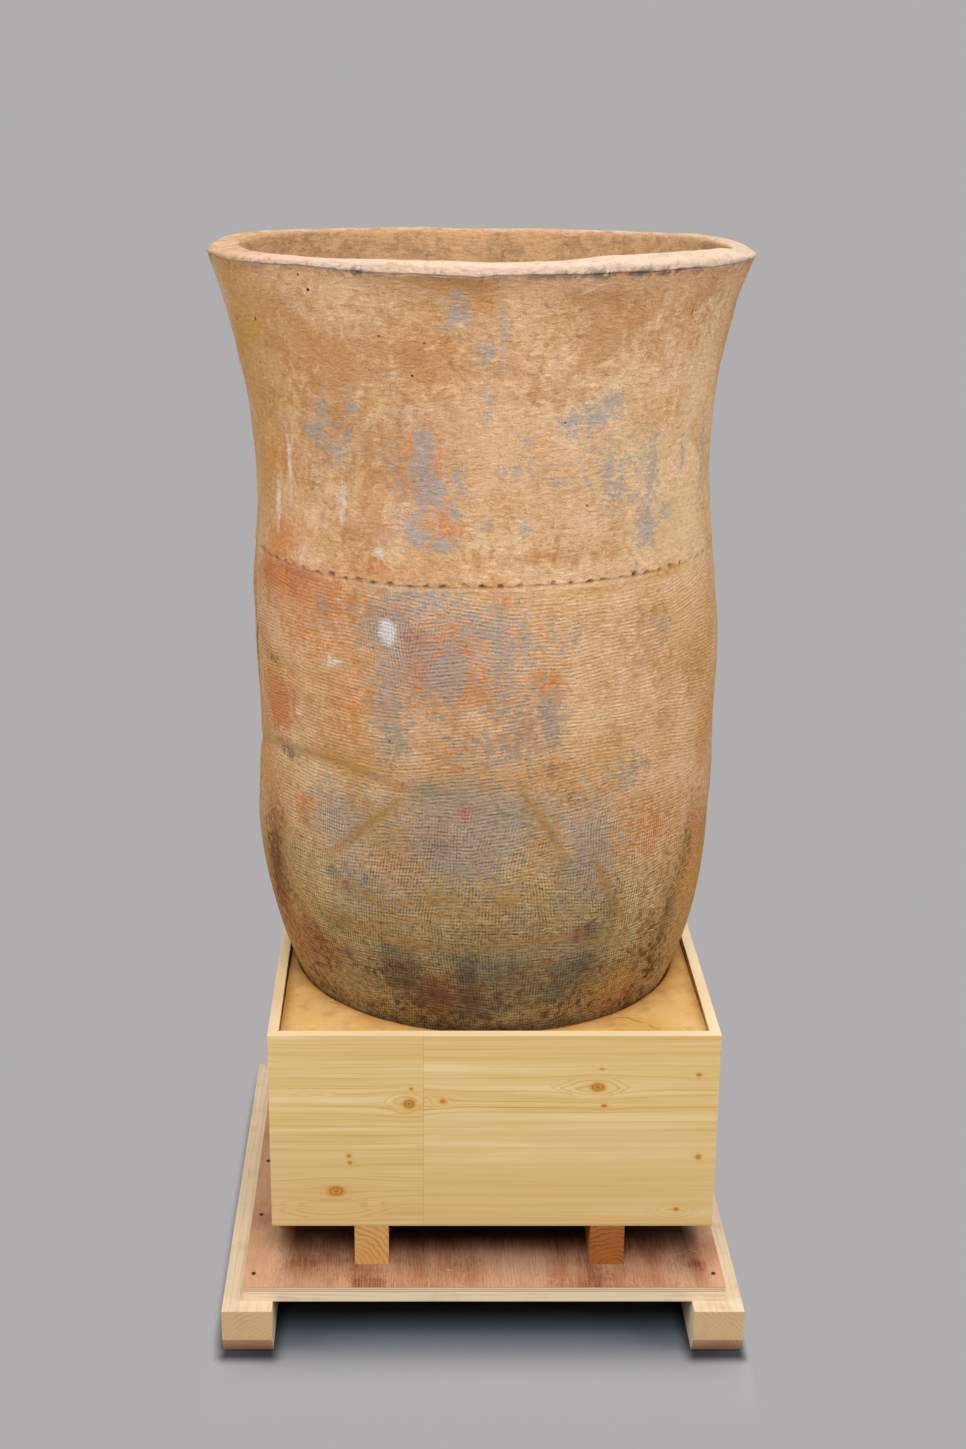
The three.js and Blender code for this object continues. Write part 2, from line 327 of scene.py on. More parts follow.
# Where the wall sways to the right: how far, at what height, and half of how high, in millimetres
SWAY = [(7, 950, 170), (-4, 1560, 130), (3, 760, 120), (-2.5, 1690, 55)]
BASE_FULLNESS = 1.9
LIP_UNDERCUT = 3 * MM
LIP_SLOPE = 9 * MM  # how far the lip's top slopes down outwards at the jar's sides
BASE_THICKNESS = 42 * MM
BOWL_HEIGHT = 80 * MM  # where the inner wall turns into the rounded floor
COLUMNS_PER_NOTCH = 10

# Stains on the outer wall, listed one by one: degrees round from the front, then millimetres of
# height over the base, half width, half height, and strength
STAINS = {
    "sand": [(33, 1580, 70, 60, 0.7), (37, 1400, 70, 60, 0.7), (60, 1560, 60, 110, 0.9),
             (15, 1530, 60, 40, 0.7), (3, 1425, 50, 50, 0.6), (10, 1665, 90, 45, 0.7),
             (2, 1300, 100, 40, 0.7), (52, 1150, 100, 70, 0.6), (25, 965, 110, 50, 0.6),
             (80, 1440, 110, 230, 0.9), (-86, 1430, 60, 220, 0.7), (34, 1430, 170, 80, 0.5),
             (46, 1290, 150, 70, 0.5), (-30, 1705, 90, 36, 0.7), (-39, 1390, 40, 60, 0.6),
             (56, 1320, 60, 110, 0.7), (-58, 870, 70, 30, 0.5), (20, 1240, 60, 30, 0.5),
             (-52, 1090, 60, 30, 0.5)],
    "blush": [(2, 1620, 60, 80, 0.8), (7, 1470, 80, 60, 0.8), (-8, 1540, 90, 70, 0.7),
              (16, 1380, 90, 70, 0.7), (-20, 1660, 110, 50, 0.6), (20, 1600, 60, 60, 0.5),
              (-50, 1070, 60, 50, 0.6), (8, 1110, 80, 60, 0.5)],
    "orange": [(-20, 1090, 280, 110, 0.24), (0, 740, 280, 150, 0.18), (20, 470, 320, 90, 0.2),
               (-66, 960, 60, 60, 0.8), (62, 600, 70, 130, 0.9), (-60, 1186, 90, 36, 0.9),
               (-42, 1176, 60, 36, 0.9), (-50, 1095, 90, 40, 0.5), (-17, 1065, 30, 50, 0.7),
               (-8, 1120, 60, 30, 0.5), (-4, 1036, 50, 34, 0.6), (13, 1050, 40, 30, 0.4),
               (39, 730, 80, 76, 0.7), (-66, 712, 46, 90, 0.7), (-51, 754, 30, 36, 0.8),
               (-60, 1400, 80, 40, 0.6), (-58, 1262, 60, 36, 0.9), (-10, 1316, 40, 30, 0.6),
               (-16, 1420, 46, 80, 0.6), (45, 500, 60, 90, 0.9), (-8, 905, 80, 34, 0.2),
               (-34, 985, 60, 60, 0.35), (27, 655, 30, 26, 0.7), (72, 540, 60, 120, 1.2),
               (-62, 930, 50, 60, 0.9), (-26, 1240, 60, 18, 0.7), (14, 880, 60, 50, 0.4),
               (-24, 1160, 30, 20, 0.6), (66, 900, 50, 120, 0.5)],
    "umber": [(-27, 1590, 120, 60, 0.7), (0, 1596, 110, 50, 0.45), (0, 1672, 420, 40, 0.4),
              (32, 1650, 100, 60, 0.5), (-15, 1598, 24, 28, 0.9), (-21, 1622, 60, 12, 0.8),
              (25, 1635, 50, 46, 0.9), (-48, 1655, 80, 54, 0.8), (-40, 1470, 80, 80, 1.0),
              (-5, 1728, 60, 20, 0.8), (-43, 1610, 80, 30, 0.7), (-33, 1570, 50, 30, 0.8),
              (15, 1545, 36, 22, 0.7), (11, 1268, 110, 18, 0.7), (-21, 1420, 40, 50, 0.6),
              (-60, 1500, 60, 60, 0.7), (-26, 1470, 50, 36, 0.7), (22, 1708, 90, 16, 0.8),
              (52, 1680, 50, 40, 0.6), (-30, 1300, 60, 40, 0.6), (40, 1090, 60, 70, 0.6),
              (58, 1010, 50, 60, 0.6), (-40, 900, 80, 50, 0.6), (-34, 1160, 90, 40, 0.5),
              (2, 950, 60, 40, 0.5), (-56, 960, 60, 40, 0.6)],
    "ochre": [(70, 500, 90, 130, 1.6), (36, 420, 60, 40, 0.7), (-68, 500, 80, 140, 1.5),
              (-74, 800, 50, 120, 0.7), (30, 880, 120, 60, 0.5), (-46, 1020, 80, 40, 0.5),
              (50, 1100, 80, 80, 0.5), (-66, 1450, 90, 240, 0.7), (-60, 1660, 70, 80, 0.6),
              (84, 1300, 50, 480, 0.7), (-86, 1000, 60, 300, 0.7), (76, 1640, 60, 120, 0.7),
              (-34, 872, 110, 22, 0.8), (4, 868, 100, 26, 0.6), (66, 1010, 80, 160, 0.5),
              (46, 1214, 60, 14, 1.0), (26, 1202, 70, 10, 0.7), (-66, 1010, 60, 36, 0.7),
              (60, 870, 70, 60, 0.5), (-50, 560, 60, 60, 0.5), (56, 620, 50, 90, 0.5)],
    "khaki": [(0, 640, 330, 170, 0.34), (-39, 425, 36, 44, 1.1), (22, 523, 70, 18, 0.9),
              (4, 528, 100, 18, 0.9), (-40, 550, 76, 36, 0.8), (-5, 645, 80, 26, 0.8),
              (-17, 617, 30, 26, 0.7), (-53, 645, 60, 48, 0.7), (16, 617, 44, 32, 0.8),
              (4, 416, 50, 34, 0.8), (-24, 568, 64, 16, 0.8), (-30, 740, 60, 30, 0.5),
              (10, 800, 60, 26, 0.5)],
    "grey": [(-6, 1685, 19, 34, 0.9), (0, 1619, 14, 18, 1.0), (3, 1640, 8, 46, 0.6),
             (0, 1531, 10, 38, 0.5), (-39, 1514, 12, 16, 0.9), (-43, 1471, 20, 15, 0.9),
             (-31, 1520, 9, 16, 0.8), (-22, 1567, 6, 10, 0.7), (-37, 1436, 15, 12, 0.7),
             (-14, 1473, 15, 14, 0.9), (-14, 1412, 18, 50, 0.8), (-14, 1382, 28, 22, 1.1),
             (-7, 1405, 13, 28, 0.8), (-18, 1314, 20, 28, 1.0), (-11, 1291, 32, 16, 1.0),
             (-1, 1326, 13, 12, 0.8), (-9, 1350, 16, 16, 0.8), (23, 1507, 38, 20, 0.9),
             (29, 1529, 24, 15, 0.9), (18, 1500, 16, 13, 0.7), (29, 1402, 12, 36, 0.8),
             (32, 1377, 11, 10, 1.2), (42, 1410, 17, 56, 0.8), (40, 1301, 27, 42, 0.9),
             (47, 1326, 16, 14, 0.8), (54, 1416, 8, 26, 1.1), (66, 1409, 12, 80, 0.7),
             (8, 1468, 11, 14, 0.7), (15, 1394, 9, 13, 0.8), (8, 1323, 9, 16, 0.9),
             (7, 1420, 50, 14, 0.5), (-23, 1140, 66, 54, 0.9), (-3, 1152, 44, 36, 0.6),
             (-25, 994, 36, 96, 0.85), (-13, 1030, 60, 60, 0.5), (8, 1000, 60, 60, 0.45),
             (2, 925, 90, 40, 0.5), (-10, 1070, 36, 40, 0.9), (2, 1092, 18, 76, 0.9),
             (13, 968, 16, 40, 1.0), (-4, 758, 86, 84, 0.9), (-40, 756, 70, 66, 0.85),
             (24, 712, 60, 112, 0.9), (-28, 630, 100, 54, 0.35), (6, 604, 40, 50, 0.3),
             (-10, 716, 90, 50, 0.7), (16, 1122, 34, 34, 0.6), (-22, 922, 26, 22, 0.8),
             (7, 1130, 16, 56, 0.7), (-14, 1196, 60, 16, 0.8), (-42, 1150, 16, 40, 0.6),
             (34, 860, 40, 30, 0.6), (44, 1120, 30, 30, 0.5), (-8, 1125, 120, 90, 0.25),
             (-8, 800, 150, 60, 0.7), (-34, 640, 60, 60, 0.4), (-16, 1440, 60, 90, 0.35),
             (30, 1420, 90, 120, 0.25), (-38, 1460, 60, 60, 0.3)],
    "teal": [(-4, 500, 330, 90, 0.2), (-6, 820, 260, 60, 0.22), (22, 543, 34, 22, 0.9),
             (-6, 490, 18, 36, 1.0), (22, 480, 52, 24, 0.8), (-41, 651, 20, 8, 1.1),
             (-10, 516, 30, 14, 0.8), (2, 489, 60, 30, 0.7), (-15, 842, 30, 15, 0.6),
             (13, 881, 16, 10, 0.7), (17, 430, 44, 20, 0.7), (-24, 514, 44, 12, 0.8),
             (-14, 740, 60, 12, 0.5), (18, 690, 40, 20, 0.6)],
    "red": [(0, 450, 330, 70, 0.26), (-54, 465, 110, 70, 0.6), (-15, 417, 56, 50, 0.7),
            (23, 554, 18, 12, 1.1), (-23, 699, 60, 36, 0.35), (-12, 758, 40, 32, 0.35),
            (-3, 713, 34, 24, 0.35), (40, 366, 80, 40, 0.6), (-18, 1124, 24, 18, 0.6),
            (-6, 808, 26, 16, 0.6), (-50, 1205, 60, 14, 0.9), (-52, 1170, 30, 20, 0.6),
            (-66, 1180, 60, 60, 0.6), (-66, 590, 60, 110, 0.9), (-40, 980, 30, 16, 0.6)],
    "soot": [(0, 560, 330, 130, 0.18), (-4, 420, 360, 60, 0.3), (-23, 462, 60, 46, 0.6),
             (-36, 640, 60, 30, 0.2), (22, 474, 60, 30, 0.5), (-6, 480, 18, 40, 0.5),
             (-3, 410, 130, 34, 0.4), (30, 602, 30, 46, 0.35), (24, 552, 34, 20, 0.5),
             (18, 822, 16, 14, 0.4), (-40, 540, 50, 24, 0.4), (10, 734, 34, 28, 0.25),
             (-5, 335, 420, 24, 0.8), (-66, 600, 60, 110, 0.8), (58, 660, 24, 80, 0.6),
             (52, 560, 24, 60, 0.6), (-80, 1040, 10, 130, 0.8), (-58, 845, 60, 9, 0.8),
             (88, 980, 10, 150, 0.5), (-66, 1016, 40, 7, 0.7)],
    "pale": [(-24, 1130, 16, 22, 1.5), (-19, 540, 8, 5, 1.0), (-12, 536, 5, 4, 0.9),
             (-60, 1330, 10, 60, 0.7), (-54, 1400, 8, 70, 0.7), (-40, 1060, 30, 20, 0.5),
             (-36, 1350, 12, 46, 0.6), (-26, 1270, 14, 16, 0.6)],
}

# How many patches of each stain lie on the far side, with their mean half width and half height
# in millimetres, their strength, and how high they reach
FAR_STAINS = {"sand": (8, 140, 110, 0.7, 1680), "blush": (6, 110, 90, 0.7, 1680),
              "orange": (12, 110, 80, 0.8, 1450), "umber": (12, 70, 50, 0.8, 1680),
              "ochre": (6, 130, 110, 0.7, 1680), "khaki": (7, 90, 50, 0.8, 820),
              "grey": (26, 46, 50, 0.8, 1560), "teal": (6, 50, 20, 0.7, 700),
              "red": (8, 50, 40, 0.6, 800), "soot": (8, 70, 40, 0.4, 760)}

# Wiped streaks, which smooth out the cord marks and hold ochre: half the width, then points in
# degrees and millimetres of height
STREAKS = [(10, [(-23, 812), (-32, 745), (-42, 676)]), (8, [(6, 846), (12, 780), (17, 706)]),
           (7, [(-66, 858), (-38, 866), (-20, 840)]), (10, [(-60, 700), (-62, 560)]),
           (8, [(-40, 640), (-26, 604), (-8, 640)]), (7, [(-30, 560), (-10, 602), (8, 640)]),
           (9, [(-46, 556), (-20, 528), (20, 545), (36, 514)]), (7, [(24, 706), (34, 560)])]

# Where fingers wiped the wet clay in steep strokes: degrees, height, half width, half height
WIPED = [(-52, 1400, 150, 150), (-42, 1340, 110, 90), (48, 1560, 60, 150), (-22, 1500, 80, 60)]

# Folds and creases pressed into the wall, and ridges left by fingers, which have a negative
# depth: half width and depth in millimetres, then points
FOLDS = [(13, 2.8, [(-92, 1090), (-72, 1024), (-52, 1012), (-38, 1004), (-28, 990)]),
         (12, 3.8, [(-104, 800), (-80, 812), (-60, 846)]),
         (13, 3.0, [(-60, 846), (-38, 861), (-27, 844)]), (6, 1.3, [(-3, 1204), (-3, 975)]),
         (20, 1.8, [(82, 1120), (66, 1010)]), (4, 1.7, [(26, 1463), (46, 1448), (66, 1424)]),
         (9, -1.7, [(-25, 1690), (-12, 1662), (-2, 1642)]),
         (9, -1.3, [(-36, 1650), (-18, 1622), (-6, 1606)]), (8, 1.4, [(-14, 1590), (12, 1572)]),
         (9, 1.8, [(-26, 498), (-5, 543), (17, 535), (37, 476)]),
         (11, -1.5, [(-46, 640), (-20, 664), (4, 650)]), (8, 1.2, [(-20, 905), (6, 925), (30, 912)]),
         (12, -1.6, [(20, 830), (44, 880), (70, 890)])]

# Pits and nicks: degrees, height, half width and half height in millimetres
PITS = [(-40, 1730, 2.0, 1.6), (-38, 1708, 3.2, 2.6), (-69, 1641, 2.4, 2.6), (-58, 1649, 2.0, 4.5),
        (-16, 1577, 2.2, 2.2), (5.7, 564, 6.0, 1.5), (-13, 1631, 1.6, 1.4), (49, 1668, 0.9, 9.0)]


def jar_rows(settings):
    """Radius and height of each ring, up the outside, over the lip and down the inside, with the
    numbers of the first ring of the lip and of the inside."""
    # The rings lie closest together at the foot and along the band
    base_share = 1 - np.cos(np.linspace(0, math.pi / 2, 62)[1:-1])
    top = MOUTH_HEIGHT - settings.lip_face
    band = settings.band_height
    stretches = [(settings.belly_height, band - 24 * MM, 58), (band - 24 * MM, band + 16 * MM, 26),
                 (band + 16 * MM, top - 60 * MM, 54), (top - 60 * MM, top, 14)]
    heights = np.concatenate([base_share * settings.belly_height] + [
        np.linspace(low, high, count, endpoint=False) for low, high, count in stretches])
    radii = outer_radius(settings, heights)
    outer = list(zip(radii, heights))
    edge, crown = settings.lip_radius, MOUTH_HEIGHT
    # The lip is rounded 3 mm below, 7 mm at its outer edge and 9 mm at its inner edge
    lip = arc((edge - 3 * MM, crown - settings.lip_face + 3 * MM), 3 * MM, -90, 0, 5)
    lip += arc((edge - 7 * MM, crown - 7 * MM), 7 * MM, 0, 90, 8)
    lip += [(edge - settings.lip_width * share, crown + 0.6 * MM) for share in (0.35, 0.5, 0.65)]
    lip += arc((edge - settings.lip_width + 9 * MM, crown - 9 * MM), 9 * MM, 90, 172, 7)
    inner_heights = np.linspace(crown - 22 * MM, BOWL_HEIGHT, 60)
    inner_radii = outer_radius(settings, np.minimum(inner_heights, top)) - settings.wall
    near_lip = smoothstep(inner_heights, crown - 110 * MM, crown)
    inner_radii = inner_radii + (edge - settings.lip_width - inner_radii) * near_lip
    inner = list(zip(inner_radii, inner_heights))
    floor_radii = np.linspace(inner_radii[-1], 20 * MM, 12)[1:]
    bowl = BASE_THICKNESS + (BOWL_HEIGHT - BASE_THICKNESS) * (floor_radii / inner_radii[-1]) ** 2.5
    inner += list(zip(floor_radii, bowl))
    return np.array(outer + lip + inner), len(outer), len(outer) + len(lip)


def outer_radius(settings, height):
    """The wall's outer radius at a height over the base."""
    belly, neck = settings.belly_height, settings.neck_height
    fall = np.clip((belly - height) / belly, 0, 1) ** BASE_FULLNESS
    base = settings.belly_radius * (1 - fall) ** (1 / BASE_FULLNESS)
    body = smooth_curve(np.clip(height / MM, BODY[0][0], BODY[-1][0]), BODY) * MM
    t = np.clip((height - neck) / (MOUTH_HEIGHT - settings.lip_face - neck), 0, 1)
    flare = settings.neck_radius + (settings.lip_radius - LIP_UNDERCUT - settings.neck_radius) * t ** 2
    return np.where(height < belly, base, np.where(height < neck, body, flare))


def distance_to_line(angle, height, radius, points):
    """Distance in metres from places on the wall to a line through points, each in degrees and
    millimetres of height."""
    nearest = np.inf
    for (start_angle, start), (end_angle, end) in zip(points, points[1:]):
        ax, ay = math.radians(start_angle) * radius, start * MM
        bx, by = math.radians(end_angle) * radius, end * MM
        dx, dy = bx - ax, by - ay
        x, y = angle * radius, height
        share = np.clip(((x - ax) * dx + (y - ay) * dy) / (dx * dx + dy * dy), 0, 1)
        nearest = np.minimum(nearest, np.hypot(x - ax - share * dx, y - ay - share * dy))
    return nearest


def notch_relief(settings, angle, height, radius):
    """The band where the upper wall laps over the lower one. Returns the relief in metres and
    how deep in a notch each place is, from 0 to 1."""
    line = settings.band_height + (2.6 * np.sin(2 * angle) + 1.2 * np.sin(5 * angle + 0.7)) * MM
    above = (height - line) / MM
    turn = angle / (2 * math.pi) * settings.notches
    number = np.floor(turn).astype(int) % settings.notches
    random = np.random.default_rng(7)
    slip, grow, dent, lift = (random.uniform(-1, 1, settings.notches)[number] for _ in range(4))
    pitch = 2 * math.pi * radius / settings.notches
    across = (turn - np.floor(turn) - 0.5) * pitch - slip * 4.5 * MM
    half = settings.notch_width / 2 * (1 + 0.38 * grow)
    inside = np.clip(1 - (across / half) ** 2, 0, 1)
    peak = 1.2 + 3.6 * inside + 2.4 * lift
    faint = 0.8 + 0.25 * dent
    stab = faint * inside ** 0.7 * smoothstep(peak + 0.9 - above, 0, 2.0) * smoothstep(above, -8, 1)
    lap = smoothstep(above + 1.6 * inside, -2.2, 1.4) * np.exp(-np.clip(above, 0, None) / 55)
    ridge = hill(above, -8, 4.5) * (0.6 + 0.4 * slip)
    relief = (1.9 * lap + 0.9 * ridge) * MM - settings.notch_depth * 1.25 * stab
    return relief, stab


def jar_relief(settings, angle, height, radius, flat):
    """Handwork on the outer wall: unevenness, paddle facets, folds, finger ridges and the band."""
    free = 0.35 + 0.65 * smoothstep(height, 330 * MM, 470 * MM)
    uneven = 3.2 * value_noise(flat, 210 * MM, 1) + 1.4 * value_noise(flat, 75 * MM, 2)
    below = 1 - smoothstep(height, settings.band_height - 6 * MM, settings.band_height)
    facets = 0.55 * below * np.abs(value_noise(flat, 46 * MM, 3))
    stretched = flat * np.array([1, 1, 2.6])
    ridges = 0.5 * value_noise(stretched, 60 * MM, 4) + 0.32 * value_noise(stretched, 20 * MM, 5)
    ridges = (1 - below) * ridges
    grain = 0.22 * value_noise(flat * np.array([1, 1, 1.8]), 9 * MM, 6)
    crumbs = 1.5 * value_noise(flat, 8 * MM, 14) + 1.0 * value_noise(flat, 17 * MM, 15)
    crumbs = crumbs * hill(height, settings.band_height + 2 * MM, 13 * MM)
    relief = free * (uneven + facets + ridges + grain + crumbs) * MM
    for half, depth, points in FOLDS:
        off = distance_to_line(angle, height, radius, points)
        relief = relief - depth * MM * hill(off, 0, half * MM)
    band, stab = notch_relief(settings, angle, height, radius)
    return relief + band, stab


def far_patches(stain):
    """Patches of a stain on the side that the photograph doesn't show, in the form of STAINS."""
    count, width, height, strength, top = FAR_STAINS.get(stain, (0, 0, 0, 0, 0))
    random = np.random.default_rng(len(stain) + 40)
    return [(random.uniform(100, 260), random.uniform(400, top), width * random.uniform(0.5, 1.4),
             height * random.uniform(0.5, 1.4), strength) for _ in range(count)]


def soft_patch(angle, height, radius, degrees, at, half_width, half_height):
    """1 in the middle of a soft round patch on the wall, with its place as in STAINS."""
    turn = (angle - math.radians(degrees) + math.pi) % (2 * math.pi) - math.pi
    across = turn * radius / (half_width * MM)
    up = (height - at * MM) / (half_height * MM)
    return np.exp(-across ** 2 - up ** 2)


def stain_masks(settings, angle, height, outer_rows, lip_rows):
    """Where each stain and mark lies, and the painted shade and highlight on and under the lip, from 0
    to about 1, as arrays over the jar's rings.
    """
    radius = settings.belly_radius
    outside = np.zeros_like(height)
    outside[:outer_rows] = 1
    masks = {}
    for stain, patches in STAINS.items():
        total = np.zeros_like(height)
        for *place, strength in patches + far_patches(stain):
            total = total + strength * soft_patch(angle, height, radius, *place)
        masks[stain] = total * outside
    streak = np.zeros_like(height)
    for half, points in STREAKS:
        off = distance_to_line(angle, height, radius, points)
        streak = np.maximum(streak, hill(off, 0, half * MM))
    masks["streak"] = streak * outside
    degrees = np.degrees(angle)
    # Soil covers the lower wall, less high on both flanks
    soil_top = (860 - 90 * hill(degrees, 55, 24) - 60 * hill(degrees, -75, 20)) * MM
    masks["olive"] = (1.2 - 0.95 * smoothstep(height, 380 * MM, soil_top)) * outside
    masks["olive"] = masks["olive"] * (1 - smoothstep(height, soil_top, soil_top + 90 * MM))
    masks["olive"] = masks["olive"] * (1 - 0.45 * hill(degrees, 68, 15))
    band = settings.band_height
    cord = 1 - smoothstep(height, band - 26 * MM, band - 10 * MM)
    masks["cord"] = cord * (1 - 0.9 * streak) * outside
    # The mat marks lie low on the wall, and higher up on the left of the front
    woven = 1 - smoothstep(height, 680 * MM, 860 * MM)
    woven = np.maximum(woven, hill(degrees, -20, 16) * hill(height, 1130 * MM, 80 * MM))
    masks["mesh"] = woven * (1 - 0.85 * streak) * smoothstep(height, 30 * MM, 90 * MM) * outside
    on_lip = np.zeros_like(height)
    on_lip[outer_rows:lip_rows - 5] = 1
    # The lip is rubbed pale and carries a painted highlight at the front and on the right, and is brown
    # at the back
    rubbed_and_lit = 0.25 + 0.75 * smoothstep(np.cos(angle - 0.5), -0.2, 0.55)
    masks["lip"] = on_lip * rubbed_and_lit
    drop = (MOUTH_HEIGHT - height) / settings.lip_face
    outer = np.clip(outside + on_lip, 0, 1)
    sooty = 0.5 + 0.6 * hill(degrees, -22, 6) + 0.4 * hill(degrees, 34, 16, 4)
    masks["lip_edge"] = hill(drop, 1.05, 0.5) * outer * sooty * (np.cos(angle) > -0.2)
    # Painted brown shadow under the lip's overhang, strongest at the front
    shade = 0.35 + 0.65 * hill(degrees, -5, 14)
    below = np.clip(drop - 1, 0, None) * settings.lip_face
    masks["lip_shade"] = np.exp(-below / (20 * MM)) * outside * shade
    wiped = np.zeros_like(height)
    for place in WIPED:
        wiped = np.maximum(wiped, soft_patch(angle, height, radius, *place))
    masks["wiped"] = wiped * outside
    masks["inside"] = np.zeros_like(height)
    masks["inside"][lip_rows - 3:] = 1
    return masks


def jar_points(settings, columns):
    """The jar's grid of points, its flattened map and the masks of its stains and of its painted light
    and shade.
    """
    rows, lip_start, inside_start = jar_rows(settings)
    angles = np.linspace(-math.pi, math.pi, columns + 1)
    angle, height = np.meshgrid(angles[:-1], rows[:, 1])
    radius = np.repeat(rows[:, :1], columns, axis=1)
    around = settings.belly_radius
    flat = np.stack([np.sin(angle) * around, np.cos(angle) * around, height], axis=-1)
    outside = np.zeros((len(rows), 1))
    outside[:lip_start] = 1
    relief, stab = jar_relief(settings, angle, height, around, flat)
    fade = 1 - smoothstep(height, MOUTH_HEIGHT - 70 * MM, MOUTH_HEIGHT - 20 * MM) * 0.8
    inner = 1.4 * MM * value_noise(flat, 90 * MM, 8) + 0.4 * MM * value_noise(flat, 22 * MM, 9)
    radius = radius + np.where(outside > 0, relief * fade, inner)
    towards_mouth = smoothstep(height, 1400 * MM, MOUTH_HEIGHT)
    degrees = np.degrees(angle)
    side = np.sin(angle) ** 2 * smoothstep(np.cos(angle), -0.45, 0.1)
    # The lip's upright face is uneven, lower on the left, and steps at the front
    face = 1.15 + 0.16 * value_noise(flat, 120 * MM, 10) + 0.12 * value_noise(flat, 36 * MM, 13)
    face = face - 0.35 * hill(degrees, -40, 13) - 0.85 * side ** 2
    face = face - 0.13 * np.tanh((degrees + 0.5) / 1.2) * np.exp(-np.abs(degrees) / 26)
    near = smoothstep(height, MOUTH_HEIGHT - 90 * MM, MOUTH_HEIGHT - settings.lip_face)
    drop = np.where(outside > 0, settings.lip_face * near, MOUTH_HEIGHT - height)
    before_inside = np.arange(len(rows))[:, None] < inside_start
    drop = np.where(before_inside, drop, 0)
    # At the sides the lip has no upright face: its top slopes down to a sharp edge
    radius = radius + LIP_UNDERCUT * side ** 2 * near * outside
    outward = np.clip((radius - settings.lip_radius) / settings.lip_width + 1, 0, 1)
    slope = LIP_SLOPE * side ** 2 * np.where(outside > 0, near, outward) * before_inside
    # The inner edge stands higher on the right and at the back, and further in on the left
    near_top = smoothstep(height, MOUTH_HEIGHT - 110 * MM, MOUTH_HEIGHT - 8 * MM)
    inward = np.where(outside > 0, 0, np.where(before_inside, 1 - outward, near_top))
    at_back = 7 * hill(degrees, -125, 26) + 4 * hill(degrees, 118, 22)
    risen = 11 * hill(degrees, 46, 28, 4) + at_back
    slope = slope - risen * MM * inward - at_back * MM * near * (1 - inward)
    radius = radius - 12 * MM * hill(degrees, -92, 30) * inward
    wave = 1.6 * value_noise(flat * np.array([1, 1, 0]), 110 * MM, 11) - 2.5 * np.sin(angle)
    wave = wave + 0.7 * value_noise(flat * np.array([1, 1, 0]), 34 * MM, 12)
    tilt = MOUTH_TILT * np.cos(angle) + wave * MM * smoothstep(height, 1600 * MM, MOUTH_HEIGHT)
    sway = sum(reach * MM * hill(height, at * MM, half * MM) for reach, at, half in SWAY)
    radius = radius - 2 * MM * hill(height, 1690 * MM, 55 * MM)
    x = FOOT_X + LEAN * height / MOUTH_HEIGHT + sway + radius * np.sin(angle)
    y = FOOT_Y - radius * np.cos(angle) * (1 - 0.08 * towards_mouth)
    z = JAR_LOW.z + height + tilt * towards_mouth - drop * (face - 1) - slope
    masks = stain_masks(settings, angle, height, lip_start, inside_start)
    masks["notch"] = stab * outside
    run, rise = np.meshgrid(angles * around, rows[:, 1])
    return np.stack([x, y, z], axis=-1), np.stack([run, rise], axis=-1), masks


# Stains in the order that they lie on each other: mask, colour, noise spread, edge and cover
STAIN_LAYERS = [("sand", "sand", 2.0, 1.2, 0.62), ("blush", "pink", 1.6, 1.0, 0.6),
                ("orange", "orange", 3.0, 1.4, 0.74), ("umber", "umber", 3.4, 1.0, 0.6),
                ("olive", "soil", 1.2, 1.1, 0.92), ("ochre", "ochre", 1.8, 1.2, 0.8),
                ("khaki", "khaki", 2.6, 1.3, 0.7), ("grey", "ash", 5.0, 1.8, 0.74),
                ("teal", "teal", 3.6, 1.5, 0.55), ("red", "red", 3.4, 1.5, 0.6),
                ("soot", "soot", 3.6, 1.5, 0.7), ("streak", "slip", 2.2, 1.1, 0.62),
                ("pale", "chalk", 1.6, 1.8, 0.72)]
OTHER_MASKS = ("cord", "mesh", "lip", "lip_edge", "lip_shade", "inside", "notch", "wiped")


def pit_mask(tree, run, rise, radius):
    """The listed pits and nicks, 1 inside and 0 outside."""
    deepest = None
    for degrees, height, half_width, half_height in PITS:
        dx = add_node(tree, "Math SUBTRACT", {0: run, 1: math.radians(degrees) * radius})
        dx = add_node(tree, "Math MULTIPLY", {0: dx, 1: 1 / (half_width * MM)})
        dy = add_node(tree, "Math SUBTRACT", {0: rise, 1: height * MM})
        dy = add_node(tree, "Math MULTIPLY", {0: dy, 1: 1 / (half_height * MM)})
        off = add_node(tree, "Math MULTIPLY", {0: dx, 1: dx})
        off = add_node(tree, "Math MULTIPLY_ADD", {0: dy, 1: dy, 2: off})
        pit = add_node(tree, "MapRange", {"Value": off, "From Min": 1.3, "From Max": 0.5})
        deepest = pit if deepest is None else add_node(tree, "Math MAXIMUM", {0: deepest, 1: pit})
    return deepest


